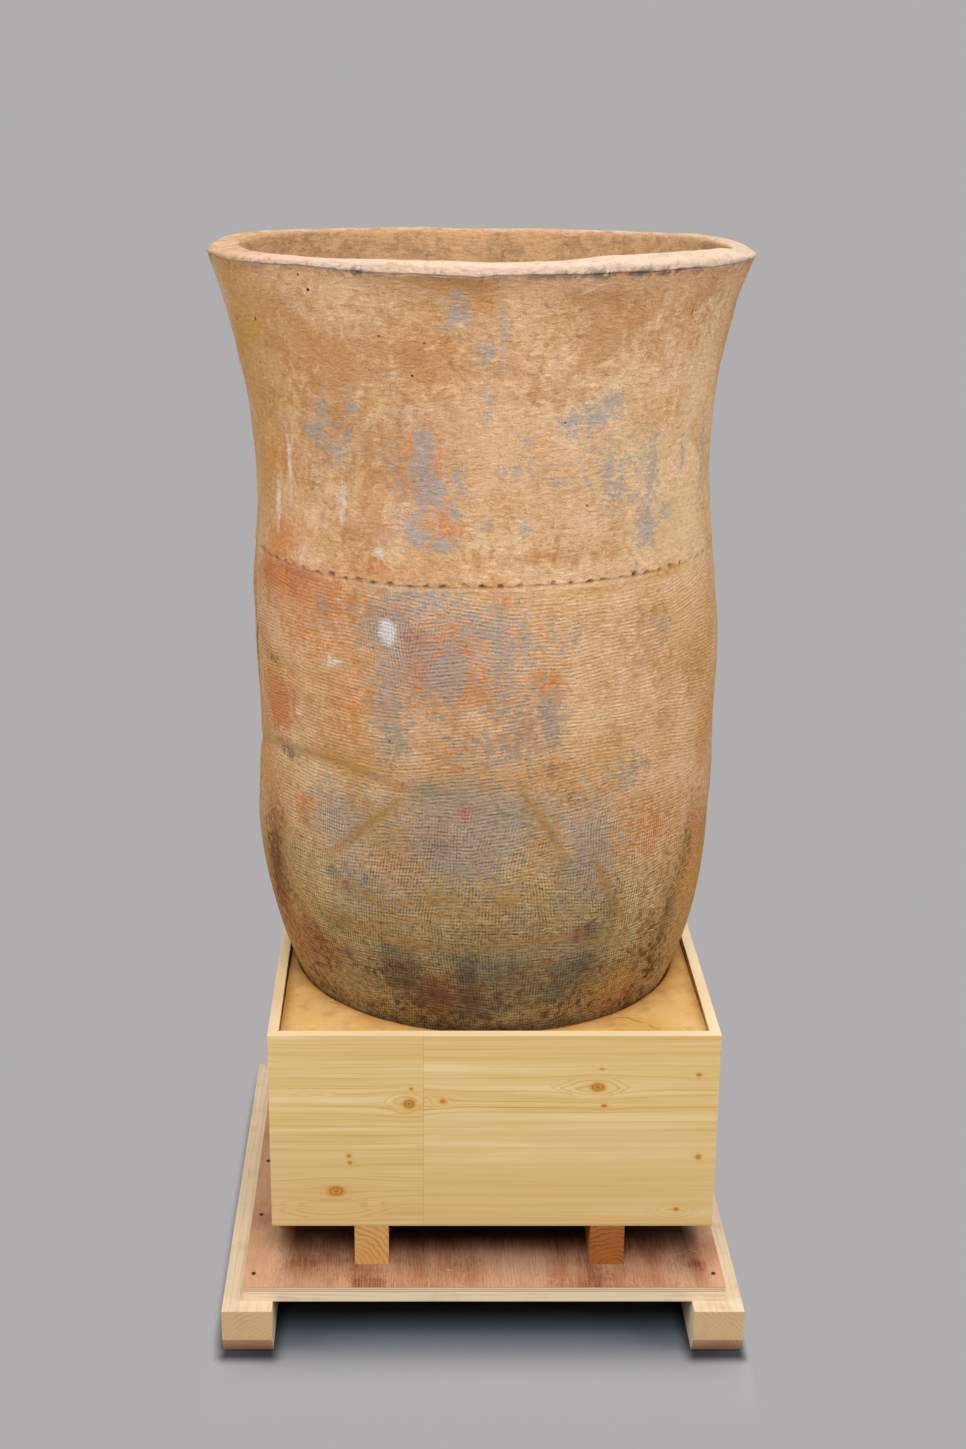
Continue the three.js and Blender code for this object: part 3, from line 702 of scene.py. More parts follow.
def fired_clay(settings):
    """Low-fired earthenware, smoothed by hand above the band and paddled below. Fired in an open
    pit it is matt, buff to orange with smoky grey patches, and every mark of the hand shows."""
    material, tree = new_material("Low-fired earthenware, hand-smoothed and paddled")
    place = add_node(tree, "TexCoord").outputs["Object"]
    wall = add_node(tree, "UVMap", uv_map="Wall")
    parts = add_node(tree, "SeparateXYZ", {0: wall})
    run, rise = parts.outputs["X"], parts.outputs["Y"]
    names = [layer[0] for layer in STAIN_LAYERS] + list(OTHER_MASKS)
    masks = {name: add_node(tree, "Attribute", attribute_name=name).outputs["Fac"] for name in names}

    # Clouds in the clay 400 mm and 90 mm across, and ragged stain edges 24 mm across
    broad = add_node(tree, "TexNoise", {"Vector": place, "Scale": 2.6, "Detail": 3.0})
    cloud = add_node(tree, "TexNoise",
                     {"Vector": place, "Scale": 11.0, "Detail": 6.0, "Roughness": 0.62})
    edge = add_node(tree, "TexNoise", {"Vector": place, "Scale": 42.0, "Detail": 6.0, "Roughness": 0.72,
                                       "Distortion": 0.5})
    # Flecks 13 mm across, with finer ones in them
    fleck = add_node(tree, "TexNoise", {"Vector": place, "Scale": 78.0, "Detail": 6.0,
                                        "Roughness": 0.74, "Distortion": 0.3})
    # Crumbs and drag marks of the smoothing hand, 16 mm long and 8 mm high, with finer ones
    drag_at = add_node(tree, "VectorMath MULTIPLY", {0: wall, 1: (64.0, 128.0, 1.0)})
    smear = add_node(tree, "TexNoise", {"Vector": drag_at, "Scale": 1.0, "Detail": 5.0,
                                        "Roughness": 0.8, "Distortion": 0.3})
    # Steep wiping strokes, 13 mm wide and 110 mm long
    turned = add_node(tree, "VectorRotate", {"Vector": wall, "Angle": math.radians(14)},
                      rotation_type="Z_AXIS")
    wipe = stretched_noise(tree, turned, (75.0, 9.0, 1.0), 3.0)
    # Sand and grit 2 mm across, a little coarser than real so that it shows
    grit = add_node(tree, "TexNoise", {"Vector": place, "Scale": 420.0, "Detail": 2.0})

    # Cord marks: nearly level lines, tilted a little differently under each blow of the paddle
    blow = add_node(tree, "TexVoronoi", {"Vector": wall, "Scale": 7.0}, voronoi_dimensions="2D")
    lean = add_node(tree, "SeparateColor", {0: blow.outputs["Color"]})
    slope = add_node(tree, "Math MULTIPLY_ADD", {0: lean.outputs["Red"], 1: 0.34, 2: -0.17})
    waver = add_node(tree, "Math MULTIPLY", {0: cloud, 1: 0.014})
    climb = add_node(tree, "Math MULTIPLY_ADD", {0: run, 1: slope, 2: rise})
    climb = add_node(tree, "Math ADD", {0: climb, 1: waver})
    turns = add_node(tree, "Math MULTIPLY", {0: climb, 1: 2 * math.pi / settings.cord_pitch})
    cord = add_node(tree, "Math SINE", {0: turns})
    broken = add_node(tree, "MapRange", {"Value": edge, "From Min": 0.34, "From Max": 0.56})
    cord = add_node(tree, "Math MULTIPLY", {0: cord, 1: broken})
    cord = add_node(tree, "Math MULTIPLY", {0: cord, 1: masks["cord"]})

    # Mat marks: upright lines that cross the cord marks, pressed in here and there
    mottled = add_node(tree, "TexNoise", {"Vector": place, "Scale": 24.0, "Detail": 3.0})
    drift = add_node(tree, "Math MULTIPLY_ADD", {0: rise, 1: slope, 2: run})
    drift = add_node(tree, "Math ADD", {0: drift, 1: waver})
    turns = add_node(tree, "Math MULTIPLY", {0: drift, 1: 2 * math.pi / settings.mesh_pitch})
    mat = add_node(tree, "Math SINE", {0: turns})
    woven = ragged(tree, masks["mesh"], cloud, 3.0, 2.0)
    pressed = add_node(tree, "MapRange", {"Value": mottled, "From Min": 0.42, "From Max": 0.56})
    woven = add_node(tree, "Math MULTIPLY", {0: woven, 1: pressed})
    mat = add_node(tree, "Math MULTIPLY", {0: mat, 1: woven})
    marks = add_node(tree, "Math ADD", {0: cord, 1: mat})

    # The clay itself, from ochre through buff to a pinker buff, mottled brown and pale
    tone = add_node(tree, "MapRange", {"Value": broad, "From Min": 0.28, "From Max": 0.48})
    clay = add_node(tree, "MixRGB", {"Fac": tone, "Color1": settings.ochre, "Color2": settings.buff})
    blush = add_node(tree, "MapRange", {"Value": cloud, "From Min": 0.44, "From Max": 0.62})
    clay = add_node(tree, "MixRGB", {"Fac": blush, "Color1": clay, "Color2": settings.pink})
    mottle = add_node(tree, "Math MULTIPLY", {0: edge, 1: 0.6})
    mottle = add_node(tree, "Math MULTIPLY_ADD", {0: cloud, 1: 0.4, 2: mottle})
    brown = add_node(tree, "MapRange",
                     {"Value": mottle, "From Min": 0.49, "From Max": 0.36, "To Max": 0.66})
    clay = add_node(tree, "MixRGB", {"Fac": brown, "Color1": clay, "Color2": linear("#ba8148")})
    bleached = add_node(tree, "MapRange",
                        {"Value": mottle, "From Min": 0.53, "From Max": 0.66, "To Max": 0.5})
    clay = add_node(tree, "MixRGB", {"Fac": bleached, "Color1": clay, "Color2": linear("#edcda4")})

    # Low down the wall, soil gives every shade from tan to dark olive
    speckle = add_node(tree, "Math MULTIPLY", {0: fleck, 1: 0.5})
    speckle = add_node(tree, "Math MULTIPLY_ADD", {0: mottle, 1: 0.5, 2: speckle})
    # On the base the soil is patchier and yellower
    lowest = add_node(tree, "MapRange", {"Value": rise, "From Min": 640 * MM, "From Max": 440 * MM})
    patchier = add_node(tree, "Math MULTIPLY_ADD", {0: speckle, 1: 2.2, 2: -0.6})
    speckle = add_node(tree, "MixRGB", {"Fac": lowest, "Color1": speckle, "Color2": patchier})
    soil = add_node(tree, "ValToRGB", {"Fac": speckle}, ramp=[
        (0.34, linear("#3c2c12")), (0.43, linear("#7d6234")), (0.5, linear("#ac905c")),
        (0.57, linear("#c0aa7c")), (0.66, linear("#b4a98c"))])
    soil = add_node(tree, "MixRGB", {"Fac": lowest, "Color1": soil, "Color2": (0.8, 0.68, 0.48, 1)},
                    blend_type="MULTIPLY")
    # Smoke is pale ash high on the wall and darker low down
    high_up = add_node(tree, "MapRange", {"Value": rise, "From Min": 900 * MM, "From Max": 1260 * MM})
    ash = add_node(tree, "MixRGB", {"Fac": high_up, "Color1": settings.smoke, "Color2": settings.grey})
    shades = {"soil": soil, "ash": ash, "chalk": linear("#e4dedb")}
    inverse = add_node(tree, "Math SUBTRACT", {0: 1.0, 1: edge})
    contrary = add_node(tree, "Math SUBTRACT", {0: 1.0, 1: fleck})
    noises = {"umber": inverse, "khaki": contrary, "teal": contrary, "orange": contrary,
              "red": fleck, "soot": fleck, "grey": fleck}
    for mask, shade, spread, sharp, cover in STAIN_LAYERS:
        patch = ragged(tree, masks[mask], noises.get(mask, edge), spread, sharp)
        cover = add_node(tree, "Math MULTIPLY", {0: patch, 1: cover})
        over = shades[shade] if shade in shades else getattr(settings, shade)
        clay = add_node(tree, "MixRGB", {"Fac": cover, "Color1": clay, "Color2": over})

    # Painted shade darkens the hollows and grooves, and painted highlights lighten the raised places,
    # following the relief
    relief_shading = add_node(tree, "Math MULTIPLY_ADD", {0: smear, 1: 5.6, 2: -2.8})
    rougher = add_node(tree, "MapRange", {"Value": rise, "From Min": 900 * MM, "From Max": 480 * MM,
                                          "To Min": 1.0, "To Max": 2.3})
    relief_shading = add_node(tree, "Math MULTIPLY", {0: relief_shading, 1: rougher})
    plain = add_node(tree, "MapRange",
                     {"Value": masks["olive"], "From Max": 0.8, "To Min": 0.9, "To Max": 1.3})
    groove_shading = add_node(tree, "Math MULTIPLY", {0: marks, 1: plain})
    relief_shading = add_node(tree, "Math ADD", {0: relief_shading, 1: groove_shading})
    relief_shading = add_node(tree, "Math MULTIPLY_ADD", {0: grit, 1: 4.2, 2: relief_shading})
    stroke = add_node(tree, "Math MULTIPLY_ADD", {0: wipe, 1: 3.4, 2: -1.7})
    stroke = add_node(tree, "Math MULTIPLY", {0: stroke, 1: masks["wiped"]})
    relief_shading = add_node(tree, "Math ADD", {0: relief_shading, 1: stroke})
    # Painted shade in the hollows and grooves
    dark = add_node(tree, "MapRange", {"Value": relief_shading, "From Min": 1.8, "From Max": 0.0, "To Max": 0.8})
    clay = add_node(tree, "MixRGB", {"Fac": dark, "Color1": clay, "Color2": (0.36, 0.27, 0.19, 1)},
                    blend_type="MULTIPLY")
    # Painted highlight on the raised places
    pale = add_node(tree, "MapRange", {"Value": relief_shading, "From Min": 2.2, "From Max": 3.7, "To Max": 0.7})
    clay = add_node(tree, "MixRGB", {"Fac": pale, "Color1": clay, "Color2": (1.5, 1.5, 1.45, 1)},
                    blend_type="MULTIPLY")

    # The inside is plain tan, with brown smudges and painted shade in its hollows
    smudge = add_node(tree, "MapRange",
                      {"Value": mottle, "From Min": 0.45, "From Max": 0.6, "To Max": 0.75})
    inner = add_node(tree, "MixRGB",
                     {"Fac": smudge, "Color1": linear("#dbad7e"), "Color2": linear("#9c7f57")})
    inner = add_node(tree, "MixRGB", {"Fac": dark, "Color1": inner, "Color2": linear("#7a5029")})
    clay = add_node(tree, "MixRGB", {"Fac": masks["inside"], "Color1": clay, "Color2": inner})

    # The lip is rubbed pale with grey smudges, and its cream is partly a painted highlight; under it lie
    # dark specks and a painted brown shadow
    shade = ragged(tree, masks["lip_shade"], edge, 2.4, 1.0)
    shade = add_node(tree, "Math MULTIPLY", {0: shade, 1: 0.8})
    # The lip's cream is partly rubbed wear and partly a painted highlight
    worn = ragged(tree, masks["lip"], edge, 3.4, 1.2)
    worn = add_node(tree, "Math MULTIPLY", {0: worn, 1: 0.72})
    ashy = add_node(tree, "MapRange",
                    {"Value": edge, "From Min": 0.56, "From Max": 0.64, "To Max": 0.5})
    ashy = add_node(tree, "Math MULTIPLY", {0: ashy, 1: masks["lip"]})
    speck = ragged(tree, masks["lip_edge"], edge, 7.0, 2.0)
    speck = add_node(tree, "Math MULTIPLY", {0: speck, 1: masks["lip_edge"]})
    patchy = add_node(tree, "MapRange", {"Value": cloud, "From Min": 0.38, "From Max": 0.56})
    speck = add_node(tree, "Math MULTIPLY", {0: speck, 1: patchy})
    # The notches are painted dark brown as the shade inside them
    notch_shade_strength = add_node(tree, "MapRange",
                      {"Value": edge, "From Min": 0.4, "From Max": 0.58, "To Min": 0.3, "To Max": 1.0})
    hole = add_node(tree, "Math MULTIPLY", {0: masks["notch"], 1: notch_shade_strength})
    for share, over in ((shade, linear("#8c5c33")), (worn, settings.cream), (ashy, linear("#9d8d84")),
                        (speck, linear("#554a46")), (hole, linear("#643c1b"))):
        clay = add_node(tree, "MixRGB", {"Fac": share, "Color1": clay, "Color2": over})

    # Pits and nicks, where grit or husk burnt out: some listed and a few 2 mm across by chance
    spots = add_node(tree, "TexVoronoi", {"Vector": wall, "Scale": 14.0}, voronoi_dimensions="2D")
    pit = add_node(tree, "MapRange",
                   {"Value": spots.outputs["Distance"], "From Min": 0.035, "From Max": 0.012})
    chance = add_node(tree, "SeparateColor", {0: spots.outputs["Color"]})
    rare = add_node(tree, "Math GREATER_THAN", {0: chance.outputs["Green"], 1: 0.95})
    pit = add_node(tree, "Math MULTIPLY", {0: pit, 1: rare})
    pit = add_node(tree, "Math MAXIMUM", {0: pit, 1: pit_mask(tree, run, rise, settings.belly_radius)})
    clay = add_node(tree, "MixRGB", {"Fac": pit, "Color1": clay, "Color2": linear("#2e1f17")})

    # Relief in metres: marks 0.7 mm, crumbs 6.5 mm, wiping 2.4 mm and pits 1.5 mm deep. The noise
    # uses only a fifth of its range.
    relief = add_node(tree, "Math MULTIPLY", {0: marks, 1: 0.35 * MM})
    relief = add_node(tree, "Math MULTIPLY_ADD", {0: smear, 1: 6.5 * MM, 2: relief})
    stroke = add_node(tree, "Math MULTIPLY", {0: wipe, 1: masks["wiped"]})
    relief = add_node(tree, "Math MULTIPLY_ADD", {0: stroke, 1: 2.4 * MM, 2: relief})
    relief = add_node(tree, "Math MULTIPLY_ADD", {0: grit, 1: 0.8 * MM, 2: relief})
    relief = add_node(tree, "Math MULTIPLY_ADD", {0: pit, 1: -1.5 * MM, 2: relief})
    finish_surface(tree, clay, relief, roughness=0.93, IOR=1.5, Specular_IOR_Level=0.25)
    return material


class JARSTAND_OT_add_jar(Operator):
    """Build the fired clay jar with its lip, notched band and paddled wall"""

    bl_idname = "jar_stand.add_jar"
    bl_label = "Jar"

    def execute(self, context):
        settings = context.scene.jar_settings
        points, flat_map, masks = jar_points(settings, settings.notches * COLUMNS_PER_NOTCH)
        base = (FOOT_X, FOOT_Y, points[0, :, 2].min())
        floor = (FOOT_X, FOOT_Y, points[-1, :, 2].mean())
        piece = ring_mesh("fired_clay_jar", points, [base, floor], flat_map, masks)
        piece.data.materials.append(fired_clay(settings))
        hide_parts("jar")
        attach(piece, "jar")
        return {"FINISHED"}


PANEL_CLEARANCE = 3 * MM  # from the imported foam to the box's panels
BED_CLEARANCE = 0.3 * MM  # from the foam to the jar's base
FOAM_COLUMNS = 480

# Knife and finger marks in the top of the foam: middle of a curve, its radius, its start and end
# in degrees, in millimetres from the box's middle
FOAM_MARKS = [(300, -310, 46, 200, 262), (352, -250, 60, 150, 205), (214, -330, 30, 20, 100),
              (330, -352, 34, 190, 250), (250, -372, 40, 60, 120), (-330, -300, 38, 20, 76)]


def aged_foam(settings, middle):
    """Polyurethane foam, cut with a knife and yellowed with age. It is matt, amber in the open and
    brown along its edges, with smudges and shallow cuts."""
    material, tree = new_material("Polyurethane foam, knife-cut and yellowed")
    place = add_node(tree, "TexCoord").outputs["Object"]
    parts = add_node(tree, "SeparateXYZ", {0: place})
    cloud = add_node(tree, "TexNoise", {"Vector": place, "Scale": 7.0, "Detail": 5.0})
    smudge = add_node(tree, "TexNoise",
                      {"Vector": place, "Scale": 26.0, "Detail": 5.0, "Roughness": 0.65})
    # Open cells, 1 mm across, drawn 2 mm so that they show
    cells = add_node(tree, "TexNoise", {"Vector": place, "Scale": 500.0, "Detail": 1.0})
    edge = add_node(tree, "Attribute", attribute_name="edge").outputs["Fac"]
    tone = add_node(tree, "MapRange", {"Value": cloud, "From Min": 0.35, "From Max": 0.7})
    foam = add_node(tree, "MixRGB",
                    {"Fac": tone, "Color1": linear("#dfb472"), "Color2": settings.amber})
    aged = ragged(tree, edge, smudge, 1.2, 1.1)
    aged = add_node(tree, "Math MULTIPLY", {0: aged, 1: 0.75})
    foam = add_node(tree, "MixRGB", {"Fac": aged, "Color1": foam, "Color2": settings.brown})
    grime = add_node(tree, "MapRange",
                     {"Value": smudge, "From Min": 0.56, "From Max": 0.7, "To Max": 0.5})
    foam = add_node(tree, "MixRGB", {"Fac": grime, "Color1": foam, "Color2": linear("#a98a63")})
    cut = None
    for x, y, radius, start, end in FOAM_MARKS:
        centre = (middle[0] + x * MM, middle[1] + y * MM)
        dx = add_node(tree, "Math SUBTRACT", {0: parts.outputs["X"], 1: centre[0]})
        dy = add_node(tree, "Math SUBTRACT", {0: parts.outputs["Y"], 1: centre[1]})
        angle = add_node(tree, "Math ARCTAN2", {0: dy, 1: dx})
        angle = add_node(tree, "Math WRAP", {0: angle, 1: 0.0, 2: 2 * math.pi})
        off = add_node(tree, "Math SUBTRACT", {0: angle, 1: math.radians((start + end) / 2)})
        off = add_node(tree, "Math ABSOLUTE", {0: off})
        within = add_node(tree, "MapRange", {"Value": off, "From Min": math.radians((end - start) / 2),
                                             "From Max": math.radians((end - start) / 4)})
        across = add_node(tree, "Math MULTIPLY", {0: dx, 1: dx})
        across = add_node(tree, "Math MULTIPLY_ADD", {0: dy, 1: dy, 2: across})
        across = add_node(tree, "Math SQRT", {0: across})
        gap = add_node(tree, "Math SUBTRACT", {0: across, 1: radius * MM})
        gap = add_node(tree, "Math ABSOLUTE", {0: gap})
        line = add_node(tree, "MapRange", {"Value": gap, "From Min": 2.2 * MM, "From Max": 0.4 * MM})
        line = add_node(tree, "Math MULTIPLY", {0: line, 1: within})
        cut = line if cut is None else add_node(tree, "Math MAXIMUM", {0: cut, 1: line})
    dark = add_node(tree, "Math MULTIPLY", {0: cut, 1: 0.6})
    foam = add_node(tree, "MixRGB", {"Fac": dark, "Color1": foam, "Color2": linear("#7a5526")})
    relief = add_node(tree, "Math MULTIPLY", {0: smudge, 1: 1.6 * MM})
    relief = add_node(tree, "Math MULTIPLY_ADD", {0: cells, 1: 0.25 * MM, 2: relief})
    relief = add_node(tree, "Math MULTIPLY_ADD", {0: cut, 1: -1.2 * MM, 2: relief})
    finish_surface(tree, foam, relief, roughness=0.95, IOR=1.45, Specular_IOR_Level=0.2)
    return material


def foam_sheet_points(jar, foam, low, high, notch):
    """A foam sheet's rings of points and how near each is to a cut edge. Returns also whether the
    sheet is cut right through, or holds the bottom of the jar."""
    def hole(z):
        """Radius of the hole for the jar at a height, 0 below the jar."""
        height = np.clip(z - JAR_LOW.z, 0, None)
        return np.where(height > 0, outer_radius(jar, height) + foam.jar_gap, 0)

    columns = FOAM_COLUMNS
    through = float(hole(low.z)) > 0
    angle = np.linspace(-math.pi, math.pi, columns, endpoint=False)
    side, front = np.sin(angle), -np.cos(angle)
    centre_x = FOOT_X + LEAN * (high.z - JAR_LOW.z) / MOUTH_HEIGHT
    centre_y = FOOT_Y
    slant = (foam.back_gap - foam.front_gap) / (high.y - low.y)
    front_gap = foam.front_gap - PANEL_CLEARANCE
    reach = np.full(columns, np.inf)
    for wall_x, sign in ((low.x, -1), (high.x, 1)):
        # The side edge is a slanted line, further in towards the back
        start = (wall_x - sign * front_gap) * sign - centre_x * sign
        at = (start - slant * (centre_y - low.y)) / np.maximum(side * sign + slant * front, 1e-6)
        reach = np.where(side * sign + slant * front > 1e-6, np.minimum(reach, at), reach)
    for wall_y, sign in ((low.y, -1), (high.y, 1)):
        at = (wall_y - centre_y) * sign / np.maximum(front * sign, 1e-6)
        reach = np.where(front * sign > 1e-6, np.minimum(reach, at), reach)
    if notch:
        for wall_x, sx in ((low.x, -1), (high.x, 1)):
            for wall_y, sy in ((low.y, -1), (high.y, 1)):
                corner_x, corner_y = (wall_x - centre_x) * sx - notch, (wall_y - centre_y) * sy - notch
                inward = np.maximum(corner_x / np.maximum(side * sx, 1e-6),
                                    corner_y / np.maximum(front * sy, 1e-6))
                facing = (side * sx > 0) & (front * sy > 0)
                reach = np.where(facing, np.minimum(reach, inward), reach)
    edge = foam.edge
    drop = [(0, edge), (0.12 * edge, 0.5 * edge), (0.5 * edge, 0.12 * edge), (edge, 0)]
    rings, near = [], []

    def ring(radius, z, closeness):
        """Adds a ring, with how near it is to a cut edge."""
        rings.append(np.stack([centre_x + radius * side, centre_y + radius * front,
                               np.broadcast_to(z, angle.shape)], axis=-1))
        near.append(np.broadcast_to(closeness, angle.shape))

    if not through:
        climb = (high.z - edge - JAR_LOW.z) * np.linspace(0.0, 1, 14)[1:] ** 2
        for z in JAR_LOW.z - BED_CLEARANCE + climb:
            ring(np.full(columns, float(hole(z))), z, 0.8)
    else:
        for z in np.linspace(low.z + edge, high.z - edge, 8):
            ring(np.full(columns, float(hole(z))), z, 0.9)
    inner_top = np.full(columns, float(hole(high.z)))
    for inset, fall in drop[1:]:
        ring(inner_top + inset, high.z - fall, 1.0)
    for share in np.linspace(0, 1, 26)[1:-1]:
        radius = inner_top + edge + (reach - inner_top - 2 * edge) * share
        from_edge = np.minimum(radius - inner_top, (reach - radius) * 2.0)
        ring(radius, high.z, np.exp(-from_edge / (28 * MM)))
    for inset, fall in drop[::-1]:
        ring(reach - inset, high.z - fall, 0.8)
    for z in np.linspace(high.z - edge, low.z + edge, 5)[1:]:
        ring(reach, z, 0.6)
    for inset, fall in drop[1:]:
        ring(reach - inset, low.z + fall, 0.6)
    inner_low = np.full(columns, float(hole(low.z)) if through else 20 * MM)
    for share in (0.3, 0.6):
        ring(reach - edge + (inner_low + edge - reach + edge) * share, low.z, 0.3)
    if through:
        for inset, fall in drop[::-1][:-1]:
            ring(inner_low + inset, low.z + fall, 0.6)
    else:
        ring(inner_low, low.z, 0.2)
    points = np.stack(rings)
    sag = value_noise(points, 120 * MM, 21) * 0.9 + value_noise(points, 40 * MM, 22) * 0.4
    top = smoothstep(points[..., 2], high.z - 2 * MM, high.z)
    points[..., 2] += (sag - 0.7) * MM * top
    return points, np.stack(near), through


class JARSTAND_OT_add_foam(Operator):
    """Build the stacked foam sheets, cut to the jar and set in the box"""

    bl_idname = "jar_stand.add_foam"
    bl_label = "Foam bed"

    def execute(self, context):
        jar, foam = context.scene.jar_settings, context.scene.foam_settings
        sheets = sorted(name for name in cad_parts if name.startswith("foam_sheet_"))
        low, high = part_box(sheets[-1])
        material = aged_foam(foam, ((low.x + high.x) / 2, (low.y + high.y) / 2))
        cleat_low, cleat_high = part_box("cleat_front_left")
        cleat = cleat_high.x - cleat_low.x
        for name in sheets:
            low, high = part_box(name)
            notch = 0 if name == sheets[-1] else cleat
            points, near, through = foam_sheet_points(jar, foam, low, high, notch)
            tops = None
            if not through:
                tops = [(FOOT_X, FOOT_Y, JAR_LOW.z - BED_CLEARANCE), (FOOT_X, FOOT_Y, low.z)]
            piece = ring_mesh(name.replace("foam_sheet", "foam_bed"), points, tops,
                              attributes={"edge": near})
            piece.data.materials.append(material)
            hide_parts(name)
            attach(piece, "crate")
        return {"FINISHED"}


def bevel_edges(node, width):
    """Softens the arrises of a packed timber."""
    bevel = node.modifiers.new("Worn arris", "BEVEL")
    bevel.width = width
    bevel.segments = 2
    bevel.limit_method = "ANGLE"
    bevel.harden_normals = True


def dress(names, material, arris):
    """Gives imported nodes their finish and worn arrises."""
    for name in names:
        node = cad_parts[name]
        node.data.materials.clear()
        node.data.materials.append(material)
        bevel_edges(node, arris)


# Knots in the front panel, in millimetres from its left lower corner: along, up, half length
# and half height
FRONT_KNOTS = [(267, 266, 13, 11), (271, 298, 4, 3), (331, 272, 6, 5), (126, 77, 18, 12),
               (151, 154, 5, 4), (153, 139, 5, 4), (625, 302, 16, 10), (632, 340, 5, 2),
               (638, 262, 6, 4), (816, 328, 6, 4), (822, 152, 6, 6), (784, 37, 6, 4)]
PLAIN_KNOTS = [(160, 130, 8, 7), (520, 250, 10, 8), (690, 90, 6, 5)]
BOARD_JOINT = 294  # from the panel's left edge to the joint between its two boards
STRIP_JOINT = 199  # up to the joint between two strips of the right board
# Swirls where the saw cut the growth rings flat: along, up, half length, half height and rings
FRONT_SWIRLS = [(258, 267, 46, 20, 2), (612, 301, 84, 24, 3), (120, 42, 150, 44, 4),
                (776, 34, 62, 26, 4), (322, 273, 30, 12, 2), (90, 285, 60, 8, 2)]
PLAIN_SWIRLS = [(180, 120, 80, 26, 4), (520, 240, 90, 24, 4)]


